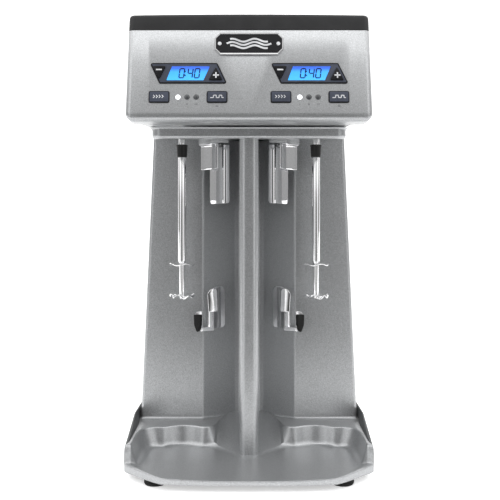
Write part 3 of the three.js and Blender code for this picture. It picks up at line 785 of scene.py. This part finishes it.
def boss_outline(grow=0.0):
    half = BOSS_HIGH[0] + grow
    front = BOSS_LOW[1] - grow
    half_path = [(half, front, 12), (half, FACET_Y - 0.4), (RIDGE_X, FACET_Y - 0.4),
                 (BAY_X, BAY_Y - 0.8)]
    mirror = [(-p[0], *p[1:]) for p in half_path[::-1]]
    return arc_corners(half_path + mirror, 8)


def make_boss():
    """The skirt the spindles come out of. Its underside rises to the back."""
    bottom, top = BOSS_LOW[2], BOSS_HIGH[2]
    slope = math.tan(BOSS_SLOPE)
    rings = []
    radius = 4.5

    def risen(points, z):
        return [Vector((p.x, p.y, min(z + max(p.y - BOSS_SLOPE_Y, 0) * slope, top - 0.6)))
                for p in points]

    for k in range(7):
        t = math.pi / 2 * k / 6
        rings.append(risen(boss_outline(-radius * (1 - math.sin(t))),
                           bottom + radius * (1 - math.cos(t))))
    flare = 2.5
    for k in range(6):
        t = math.pi / 2 * k / 5
        rings.append(flat_ring(boss_outline(flare * (1 - math.cos(t))),
                               top - flare * (1 - math.sin(t)) + 0.2))
    return loft(rings)


def lever_slot(side):
    """The slot through the boss that the lever's neck passes."""
    return loft([flat_ring(slot_outline(side), BOSS_LOW[2] - 2),
                 flat_ring(slot_outline(side), HEAD_LOW[2] + 6)])


def slot_outline(side):
    angle = math.radians(LEVER_BEARING)
    out = Vector((-side * math.cos(angle), math.sin(angle)))
    along = Vector((-out.y, out.x))
    centre = Vector((side * SPINDLE_X, SPINDLE_Y))
    return [centre + out * r + along * w for r, w in ((49, -8), (62, -8), (62, 8), (49, 8))]


PANEL = Matrix((
    (1, 0, 0, 0),
    (0, math.sin(LEAN), -math.cos(LEAN), HEAD_FRONT_Y),
    (0, math.cos(LEAN), math.sin(LEAN), HEAD_LOW[2]),
    (0, 0, 0, 1),
))


def on_panel(bm, unit_x=0.0):
    """Moves a mesh from the panel's own axes (x, up the face, outwards) to its place."""
    return moved(bm, PANEL @ Matrix.Translation((unit_x, 0, 0)))


UNIT_BOTTOM = -2.8          # how deep the timer units' parts sit in the panel
LAMP_X = (-12.1, -1.2, 9.7)
LAMP_Y = 29.5
KEY_HALF = (12.25, 7.2)
SPEED_X, PULSE_X = -34.6, 34.6
BEZEL = ((-34.6, 46.7, 2), (46.4, 46.7, 2), (34.6, 72.6, 2), (-46.4, 72.6, 2))
WINDOW = ((-26.2, 50.7, 0.6), (18.1, 50.7, 0.6), (25.7, 68.4, 0.6), (-19.9, 68.4, 0.6))
MINUS = ((-34.9, 51.6, 1), (-27.4, 68.4, 1), (-43.4, 68.4, 1))
PLUS = ((24.4, 50.7, 1), (41.0, 50.7, 1), (33.0, 67.2, 1))


def key_outline(x, grow=0.0):
    half_x, half_y = KEY_HALF[0] + grow, KEY_HALF[1] + grow
    y = LAMP_Y + 0.2
    return arc_corners([(x - half_x, y - half_y, 2), (x + half_x, y - half_y, 2),
                        (x + half_x, y + half_y, 2), (x - half_x, y + half_y, 2)], 4)


def sunk(points, depth=4.2, grow=0.3):
    """A cutter that sinks an outline into the panel by a depth."""
    return loft([flat_ring(inset_ring(points, -grow), -depth),
                 flat_ring(inset_ring(points, -grow), 4)])


def circle(x, y, radius, segments=24):
    return [Vector((x + radius * math.cos(2 * math.pi * i / segments),
                    y + radius * math.sin(2 * math.pi * i / segments)))
            for i in range(segments)]


def build_head():
    shell = piece("head_shell", make_head_shell(), SILVER, node="head_housing")
    holes = []
    for _, side in SIDES:
        for points in (arc_corners(BEZEL, 4), key_outline(SPEED_X), key_outline(PULSE_X)):
            holes.append(on_panel(sunk(points), side * UNIT_X))
        for x in LAMP_X:
            holes.append(on_panel(sunk(circle(x, LAMP_Y, 3.2), 3, 0.1), side * UNIT_X))
    cut_out(shell, *holes)
    piece("head_lid", make_cover(), COVER_BLACK, node="top_cover")
    boss = piece("boss_casting", make_boss(), SILVER, node="spindle_boss")
    bores = []
    for side_name, side in SIDES:
        low, high = BOSS_LOW[2] - 2, HEAD_LOW[2] - 3
        bores.append(lathe([(0, low), (BORE_RADIUS, low), (BORE_RADIUS, high), (0, high)],
                           (side * SPINDLE_X, SPINDLE_Y), 32))
        bores.append(lever_slot(side))
        outer = [around(side, 62, b) for b in range(14, 61, 2)]
        inner = [around(side, 38, b) for b in range(60, 13, -2)]
        pad = piece(f"lever_pad_{side_name}",
                    rounded_prism(outer + inner, BOSS_LOW[2], BOSS_HIGH[2] - 1, 0.1, 3, 0.8), SILVER)
        cut_out(pad, lever_slot(side))
    cut_out(boss, *bores)


# ---- Nameplate ----
def octagon(inset=0.0):
    half_x, low, high, chamfer = 41.6, 83.5, 111.0, 6.6
    corners = [(-half_x, low + chamfer), (-half_x + chamfer, low), (half_x - chamfer, low),
               (half_x, low + chamfer), (half_x, high - chamfer), (half_x - chamfer, high),
               (-half_x + chamfer, high), (-half_x, high - chamfer)]
    points = arc_corners([(x, y, 1.2) for x, y in corners], 3)
    return inset_ring(points, inset) if inset else points


def ribbon(points, width, bottom, top):
    """A flat band of even width along a line of 2-D points."""
    left, right = [], []
    for i, point in enumerate(points):
        along = (Vector(points[min(i + 1, len(points) - 1)])
                 - Vector(points[max(i - 1, 0)])).normalized()
        normal = Vector((-along.y, along.x)) * width / 2
        left.append(Vector(point) + normal)
        right.append(Vector(point) - normal)
    outline = left + right[::-1]
    return loft([flat_ring(outline, bottom), flat_ring(outline, top)])


def build_nameplate():
    rim = loft([flat_ring(octagon(), 0.3), flat_ring(octagon(), 1.7),
                flat_ring(octagon(0.5), 2.2), flat_ring(octagon(1.5), 2.2),
                flat_ring(octagon(1.9), 1.5)])
    piece("nameplate_rim", on_panel(rim), CHROME, node="nameplate")
    field = loft([flat_ring(octagon(1.8), 1.0), flat_ring(octagon(1.8), 1.6)])
    piece("nameplate_field", on_panel(field), OUTLINE_BLACK)
    middle = 97.2
    for x in (-35.5, 35.5):
        dot = lathe([(0, 1.5), (2.4, 1.5), (2.2, 2.1), (1.2, 2.4), (0, 2.5)], (x, middle), 24)
        piece(f"nameplate_rivet_{'left' if x < 0 else 'right'}", on_panel(dot), WHITE_PRINT)
    for row, lift in enumerate((-4.2, 0.0, 4.2)):
        reach = 27.0 - abs(lift)
        wave = [(x, middle + lift + 1.9 * math.sin(x / 27.0 * math.pi * 2))
                for x in (reach * (k / 24 - 1) for k in range(49))]
        piece(f"nameplate_wave_{row + 1}", on_panel(ribbon(wave, 2.3, 1.5, 1.9)), WHITE_PRINT)


# ---- Timer units ----
SEGMENTS = {"0": "abcdef", "4": "bcfg"}


def digit(character, x, y, width, height, thickness):
    """Bars of a seven-segment digit, leaning to the right."""
    half = height / 2
    ends = {
        "a": ((0, height), (width, height)), "b": ((width, half), (width, height)),
        "c": ((width, 0), (width, half)), "d": ((0, 0), (width, 0)),
        "e": ((0, 0), (0, half)), "f": ((0, half), (0, height)), "g": ((0, half), (width, half)),
    }
    bars = []
    slant = 0.12
    for name in SEGMENTS[character]:
        (x0, y0), (x1, y1) = ends[name]
        start = Vector((x + x0 + slant * y0, y + y0))
        end = Vector((x + x1 + slant * y1, y + y1))
        short = (end - start).normalized() * thickness * 0.3
        bars.append(ribbon([start + short, end - short], thickness, 0.85, 1.0))
    return bars


def display_digits():
    height, width, thickness = 11.6, 5.6, 1.35
    y = 53.6
    bars = digit("0", -11.4, y, width, height, thickness)
    bars += digit("4", -1.2, y, width, height, thickness)
    bars += digit("0", 7.0, y, width, height, thickness)
    for dot_y in (y + 3.2, y + 8.2):
        bars.append(ribbon([(-3.9, dot_y - 0.8), (-3.8, dot_y + 0.8)], 1.4, 0.85, 1.0))
    return merge(*bars)


def chevron(x, y, size):
    return [(x - size / 2, y - size / 2), (x, y), (x - size / 2, y + size / 2)]


def key_marks():
    """Generic marks for the eight keys, by key."""
    top = 2.25
    y = LAMP_Y + 0.2
    minus = [ribbon([(-38.9, 63.6), (-31.7, 63.6)], 1.7, top - 0.1, top + 0.1)]
    plus = [ribbon([(29.6, 56.6), (36.8, 56.6)], 1.6, top - 0.1, top + 0.1),
            ribbon([(33.2, 53.0), (33.2, 60.2)], 1.6, top - 0.1, top + 0.1)]
    speed = [ribbon(chevron(SPEED_X + dx, y, 3.6), 1.0, top - 0.3, top - 0.1)
             for dx in (-5.0, -1.6, 1.8, 5.2)]
    pulse_line = [(-8, -1.5), (-4.2, -1.5), (-4.2, 1.5), (-0.8, 1.5), (-0.8, -1.5), (2.6, -1.5),
                  (2.6, 1.5), (5.8, 1.5), (5.8, -1.5), (8, -1.5)]
    pulse = []
    for (x0, y0), (x1, y1) in zip(pulse_line, pulse_line[1:]):
        pulse.append(ribbon([(PULSE_X + x0, y + y0), (PULSE_X + x1, y + y1)], 1.0,
                            top - 0.3, top - 0.1))
    return {"minus": minus, "plus": plus, "speed": speed, "pulse": pulse}


def panel_frame(name, x, outline, holes, top, edge, material, node=None):
    """A flat frame on the panel: an outline with through holes, its outer edge rounded over."""
    bm = rounded_prism(outline, UNIT_BOTTOM, top, edge)
    obj = piece(name, on_panel(bm, x), material, node=node)
    cut_out(obj, *[on_panel(loft([flat_ring(hole, UNIT_BOTTOM - 1), flat_ring(hole, top + 1)]), x)
                   for hole in holes])


def build_unit(side_name, side):
    x = side * UNIT_X
    bezel, window = arc_corners(BEZEL, 4), arc_corners(WINDOW, 3)
    minus, plus = arc_corners(MINUS, 4), arc_corners(PLUS, 4)
    panel_frame(f"bezel_edge_{side_name}", x, bezel, [inset_ring(bezel, 1.3)], 1.1, 0.4,
                OUTLINE_BLACK)
    panel_frame(f"bezel_field_{side_name}", x, inset_ring(bezel, 1.35),
                [inset_ring(window, -0.25), inset_ring(minus, -0.35), inset_ring(plus, -0.35)],
                0.9, 0.2, SLATE, f"display_bezel_{side_name}")
    piece(f"lcd_{side_name}", on_panel(rounded_prism(window, UNIT_BOTTOM, 0.8, 0.15), x), LCD,
          node=f"display_window_{side_name}")
    piece(f"lcd_digits_{side_name}", on_panel(display_digits(), x), LCD_INK)
    marks = key_marks()
    shapes = {"minus": (minus, 2.2, KEY_BLACK), "plus": (plus, 2.2, KEY_BLACK),
              "speed": (key_outline(SPEED_X), 2.0, SLATE), "pulse": (key_outline(PULSE_X), 2.0, SLATE)}
    for key, (outline, top, material) in shapes.items():
        body = f"{key}_key_{side_name}"
        node = f"{key}_button_{side_name}"
        if key in ("speed", "pulse"):
            skirt = rounded_prism(outline, -2.9, top - 0.5, 0.4)
            piece(f"{key}_skirt_{side_name}", on_panel(skirt, x), OUTLINE_BLACK, body)
            outline = inset_ring(outline, 1.0)
        cap = rounded_prism(outline, UNIT_BOTTOM, top, 0.5)
        piece(f"{key}_cap_{side_name}", on_panel(cap, x), material, body, node)
        piece(f"{key}_mark_{side_name}", on_panel(merge(*marks[key]), x), WHITE_PRINT, body)
    for i, lamp_x in enumerate(LAMP_X):
        lens = lathe([(0, -2.8), (3.0, -2.8), (3.0, 0.2), (2.6, 0.7), (1.6, 1.05), (0.7, 1.2),
                      (0, 1.25)], (lamp_x, LAMP_Y), 32)
        ring = ring_lathe([(3.02, -0.5), (3.3, -0.5), (3.35, 0.25), (3.1, 0.35)],
                          (lamp_x, LAMP_Y), 32)
        name = f"lamp_{side_name}_{i + 1}"
        piece(f"{name}_lens", on_panel(lens, x), LAMP_OFF if i else LAMP_LIT, node=name)
        piece(f"{name}_ring", on_panel(ring, x), GREY_PRINT)
        ticks = [ribbon([(lamp_x + 1.3 * (k - i / 2), 19.6), (lamp_x + 1.3 * (k - i / 2), 21.8)],
                        0.55, -0.02, 0.08) for k in range(i + 1)]
        piece(f"{name}_ticks", on_panel(merge(*ticks), x), GREY_PRINT)
    dot = ribbon([(PULSE_X - 1.6, 18.4), (PULSE_X + 1.6, 18.4)], 1.3, -0.02, 0.08)
    piece(f"pulse_note_{side_name}", on_panel(dot, x), GREY_PRINT)


# ---- Spindles ----
def wave_disc(z, centre, wave, lobes, scallop, ruffle):
    """A stamped disc around the shaft with a waved, scalloped edge."""
    inner, outer, thickness = 3.3, 16.3, 1.1
    radii = [inner + (outer - inner) * k / 8 for k in range(9)]
    segments = 96

    def sheet(lift, shrink):
        rows = []
        for radius in radii:
            part = (radius - inner) / (outer - inner)
            row = []
            for i in range(segments):
                angle = 2 * math.pi * i / segments
                reach = radius - scallop * part * (1 - math.cos(lobes * angle)) / 2
                reach -= shrink * part ** 6
                height = wave * part ** 1.5 * math.sin(lobes * angle)
                height += ruffle * part ** 2 * math.sin(2 * angle + 0.6)
                row.append(Vector((centre[0] + reach * math.cos(angle),
                                   centre[1] + reach * math.sin(angle), z + height + lift)))
            rows.append(row)
        return rows

    rings = sheet(-thickness / 2, 0.3) + sheet(0, 0)[-1:] + sheet(thickness / 2, 0.3)[::-1]
    rings.append(rings[0])
    return loft(rings, closed_ends=False)


def build_spindle(side_name, side):
    body = f"spindle_{side_name}"
    centre = (side * SPINDLE_X, SPINDLE_Y)
    low, top = SHAFT_LOW[2], SHAFT_HIGH[2]
    upper_z = sum(c[2] for c in box_mm(f"upper_agitator_{side_name}")) / 2
    lower_z = sum(c[2] for c in box_mm(f"lower_agitator_{side_name}")) / 2
    thin, thick = 3.6, 5.2
    profile = [(0, low), (2.2, low + 0.2), (2.9, low + 0.9), (3.0, lower_z - 1.2),
               (thin, lower_z + 0.8), (thin, upper_z - 1.4), (3.2, upper_z - 1.2),
               (3.2, upper_z + 1.2), (4.2, upper_z + 1.6), (thick - 0.3, upper_z + 3.4),
               (thick, upper_z + 4.4), (thick, top - 1.6), (thick - 0.5, top - 0.6), (4.2, top),
               (0, top)]
    piece(f"shaft_{side_name}", lathe(profile, centre, 64), SPINDLE, body,
          f"spindle_shaft_{side_name}")
    foot, head = COLLAR_LOW[2], COLLAR_HIGH[2]
    collar = [(5.3, foot), (6.0, foot), (6.3, foot + 0.4), (6.5, foot + 2.0), (7.2, head - 2.4),
              (7.3, head - 2.0), (7.6, head - 1.7), (7.6, head - 0.3), (7.3, head), (4.7, head),
              (4.7, top + 0.6), (5.3, top + 0.4)]
    piece(f"collar_{side_name}", ring_lathe(collar, centre, 64), COLLAR, body,
          f"spindle_collar_{side_name}")
    neck = [(0, head - 6), (4.5, head - 6), (4.5, BOSS_LOW[2] + 8), (0, BOSS_LOW[2] + 8)]
    piece(f"motor_shaft_{side_name}", lathe(neck, centre, 48), SPINDLE, body)
    piece(f"agitator_upper_{side_name}",
          wave_disc(upper_z, centre, 1.3, 4, 0.8, 0.4), SPINDLE, body,
          f"upper_agitator_{side_name}", crease=60)
    piece(f"agitator_lower_{side_name}",
          wave_disc(lower_z, centre, 2.4, 6, 2.6, 0.5), SPINDLE, body,
          f"lower_agitator_{side_name}", crease=60)


# ---- Cup guides, start levers and cup rests ----
def around(side, radius, degrees):
    """A plan point at a radius and bearing from the spindle. 0 points to the centre line."""
    angle = math.radians(degrees)
    return Vector((side * (SPINDLE_X - radius * math.cos(angle)),
                   SPINDLE_Y + radius * math.sin(angle)))


def upright_strip(path, thickness, foot, top, corner=0.0):
    """A plate that follows a plan path, with rounded lower corners."""
    lengths = [0.0]
    for a, b in zip(path, path[1:]):
        lengths.append(lengths[-1] + (b - a).length)
    total = lengths[-1]
    bm = bmesh.new()
    rows = 10
    faces = []
    for offset in (-thickness / 2, thickness / 2):
        grid = []
        for i, point in enumerate(path):
            along = (path[min(i + 1, len(path) - 1)] - path[max(i - 1, 0)]).normalized()
            shifted = point + Vector((-along.y, along.x)) * offset
            edge = min(lengths[i], total - lengths[i])
            short = max(corner - edge, 0)
            lift = corner - math.sqrt(max(corner ** 2 - short ** 2, 0)) if corner else 0
            low = foot + lift
            grid.append([bm.verts.new((shifted.x, shifted.y, low + (top - low) * k / rows))
                         for k in range(rows + 1)])
        faces.append(grid)
    for grid, flip in ((faces[0], False), (faces[1], True)):
        for a, b in zip(grid, grid[1:]):
            for k in range(rows):
                loop = (a[k], b[k], b[k + 1], a[k + 1])
                bm.faces.new(loop[::-1] if flip else loop)
    inner, outer = faces
    for i in range(len(path) - 1):
        bm.faces.new((inner[i][0], outer[i][0], outer[i + 1][0], inner[i + 1][0]))
        bm.faces.new((inner[i][-1], inner[i + 1][-1], outer[i + 1][-1], outer[i][-1]))
    for i in (0, -1):
        for k in range(rows):
            bm.faces.new((inner[i][k], inner[i][k + 1], outer[i][k + 1], outer[i][k]))
    return bm


def edge_round(bm, width, segments=2):
    """Rounds the free edges of a thin plate."""
    bmesh.ops.recalc_face_normals(bm, faces=bm.faces)
    return round_edges(bm, sharper(bm, 50), width, segments)


def build_guide(side_name, side):
    low, high = box_mm(f"cup_guide_{side_name}")
    path = [around(side, GUIDE_RADIUS + 0.75, b) for b in range(62, 11, -2)]
    plate = upright_strip(path, 1.5, low[2], high[2], 1.5)
    flange_out = [around(side, GUIDE_RADIUS + 1.4, b) for b in range(16, 59, 3)]
    flange_in = [around(side, GUIDE_RADIUS - 8, b) for b in range(58, 15, -3)]
    flange = rounded_prism(flange_out + flange_in, high[2] - 1.6, high[2], 0.3)
    piece(f"guide_{side_name}", merge(edge_round(plate, 0.4), flange), CHROME,
          node=f"cup_guide_{side_name}", crease=40)


def build_lever(side_name, side):
    low, high = box_mm(f"start_lever_{side_name}")
    plate_top = BOSS_LOW[2] - 2.6
    path = [around(side, LEVER_RADIUS + 0.75, b) for b in range(52, 19, -2)]
    bend = [around(side, LEVER_RADIUS + r, b)
            for r, b in ((1.0, 18), (1.8, 16.6), (3.2, 15.9), (5.2, 15.9), (7.4, 16.3), (9.2, 16.8))]
    tongue = edge_round(upright_strip(path + bend, 1.5, low[2], plate_top, 4.0), 0.45)
    neck_path = [around(side, LEVER_RADIUS + 0.75, b) for b in (39.5, 36.5, 33.5, 30.5, 27.5)]
    neck = edge_round(upright_strip(neck_path, 1.5, plate_top - 1, high[2] - 0.3), 0.3)
    piece(f"lever_{side_name}", merge(tongue, neck), CHROME, f"lever_{side_name}",
          f"start_lever_{side_name}", crease=40)


def slab(side, start, end, thickness, z0, z1, edge=0.5):
    """An upright plate between two plan points given for the right-hand side."""
    a, b = Vector((side * start[0], start[1])), Vector((side * end[0], end[1]))
    along = (b - a).normalized()
    across = Vector((-along.y, along.x)) * thickness / 2
    outline = [a - across, b - across, b + across, a + across]
    bm = loft([flat_ring(outline, z0), flat_ring(outline, z1)])
    bmesh.ops.recalc_face_normals(bm, faces=bm.faces)
    return round_edges(bm, list(bm.edges), edge, 3)


def wall_plan(x, clearance=1.9):
    """A plan point just in front of the bay wall, for the right-hand side."""
    return (x, FACET_Y + (RIDGE_X - x) * (BAY_Y - FACET_Y) / (RIDGE_X - BAY_X) - clearance)


def side_profile(side, start, end, corners, thickness, edge=0.5, steps=6):
    """A plate whose outline is drawn along a plan line (distance, height)."""
    a, b = Vector((side * start[0], start[1])), Vector((side * end[0], end[1]))
    along = (b - a).normalized()
    across = Vector((-along.y, along.x)) * thickness / 2
    outline = arc_corners(corners, steps)
    rings = []
    for shift in (-1, 1):
        rings.append([Vector((a.x + along.x * p.x + across.x * shift,
                              a.y + along.y * p.x + across.y * shift, p.y)) for p in outline])
    bm = loft(rings)
    bmesh.ops.recalc_face_normals(bm, faces=bm.faces)
    return edge_round(bm, edge, 3)


def build_rest(side_name, side):
    low, high = box_mm(f"cup_rest_{side_name}")
    foot, top = low[2], high[2]
    wall_corners = [(0, foot + 2, 6), (22, foot + 2, 6), (22, top, 8), (0, top, 8)]
    wall = side_profile(side, wall_plan(52), wall_plan(33), wall_corners, 2.0, 0.6)
    web_corners = [(0, foot + 3, 2), (25, foot + 3, 2), (25, top - 9, 7), (12, top - 1, 8),
                   (0, top - 1, 2)]
    web = side_profile(side, wall_plan(40), (50, 46), web_corners, 2.2, 0.6)
    arm = slab(side, (48.5, 49), (66, 39.5), 6.6, foot + 0.2, foot + 6.4, 1.6)
    finger_corners = [(0, foot + 27, 2), (13, foot + 26, 2), (14.5, top - 8, 5), (8, top, 6),
                      (1, top - 3, 4)]
    finger = side_profile(side, (43, 47.5), (57, 43.5), finger_corners, 2.4, 0.8)
    stem = slab(side, (50.5, 46), (56, 44), 2.4, foot + 4, foot + 30, 0.8)
    holder_corners = [(0.5, foot + 3, 2), (10.5, foot + 3, 2), (10.6, foot + 27, 2),
                      (0.2, foot + 29, 2)]
    holder = side_profile(side, (62.8, 35.6), (72.8, 40.2), holder_corners, 2.4, 0.7, 5)
    parts = (("wall_plate", wall), ("web", web), ("arm", arm), ("finger", finger),
             ("stem", stem), ("holder", holder))
    for name, bm in parts:
        piece(f"rest_{name}_{side_name}", bm, CHROME,
              node=f"cup_rest_{side_name}" if name == "arm" else None, crease=40)
    pad_corners = [(0.4, foot + 24.2, 1.5), (11, foot + 24.2, 1.5), (10.4, foot + 10, 6),
                   (6.6, foot + 1, 1.8), (4.4, foot + 1, 1.8), (0.8, foot + 10, 6)]
    pad = side_profile(side, (63.9, 32.0), (73.9, 36.6), pad_corners, 4.6, 1.4, 5)
    piece(f"bumper_{side_name}", pad, RUBBER, node=f"rest_bumper_{side_name}",
          crease=40)


# ---- Back and inside ----
def recut(node, name, material, width):
    """A CAD node's own shape with softened edges."""
    bm = bmesh.new()
    bm.from_mesh(frame["nodes"][node].data)
    bmesh.ops.scale(bm, vec=(1 / MM,) * 3, verts=bm.verts)
    piece(name, bevelled(bm, width), material, node=node)


def socket_screw(place):
    """A socket-head screw on the back, its axis along +Y."""
    head = lathe([(0, 0), (4.0, 0), (4.0, 0.9), (3.4, 1.7), (2.2, 2.1), (1.5, 2.2), (1.4, 0.9),
                  (0, 0.9)], (0, 0), 32)
    return moved(head, Matrix.Translation(place) @ Matrix.Rotation(-math.pi / 2, 4, "X"))


def build_back():
    recut("rear_cover", "back_panel", COVER_BLACK, 0.5)
    recut("cord_gland", "gland", RUBBER, 0.4)
    back_y = box_mm("rear_cover")[1][1]
    screen_y = COLUMN_HIGH[1] - 0.25
    for side_name, side in SIDES:
        start, end = [(x, screen_y) for x in VENT_SPAN]
        screen = slab(side, start, end, 0.9, *VENT_HEIGHTS, 0.1)
        piece(f"vent_screen_{side_name}", screen, OUTLINE_BLACK)
    for row, z in enumerate(SCREW_HEIGHTS):
        half = COLUMN_FOOT_HALF - (z - RIM_Z) * 0.047 - 10
        for side_name, side in SIDES:
            piece(f"back_screw_{side_name}_{row + 1}", socket_screw((side * half, back_y, z)), STEEL)


def dress_cad():
    """CAD nodes that stay as they are get their materials."""
    finishes = {"plate_steel": STEEL, "motor_steel": STEEL, "circuit_board": BOARD,
                "switch_black": COVER_BLACK}
    slots = {s["node"]: s["material_slot"] for s in frame["record"]["subparts"]}
    for node, obj in frame["nodes"].items():
        finish = finishes.get(slots[node])
        if finish is not None:
            for holder in obj.material_slots:
                holder.material = finish


make_studio()
build_base()
build_column()
build_head()
build_nameplate()
for side_label, side_sign in SIDES:
    build_unit(side_label, side_sign)
    build_spindle(side_label, side_sign)
    build_guide(side_label, side_sign)
    build_lever(side_label, side_sign)
    build_rest(side_label, side_sign)
build_back()
dress_cad()
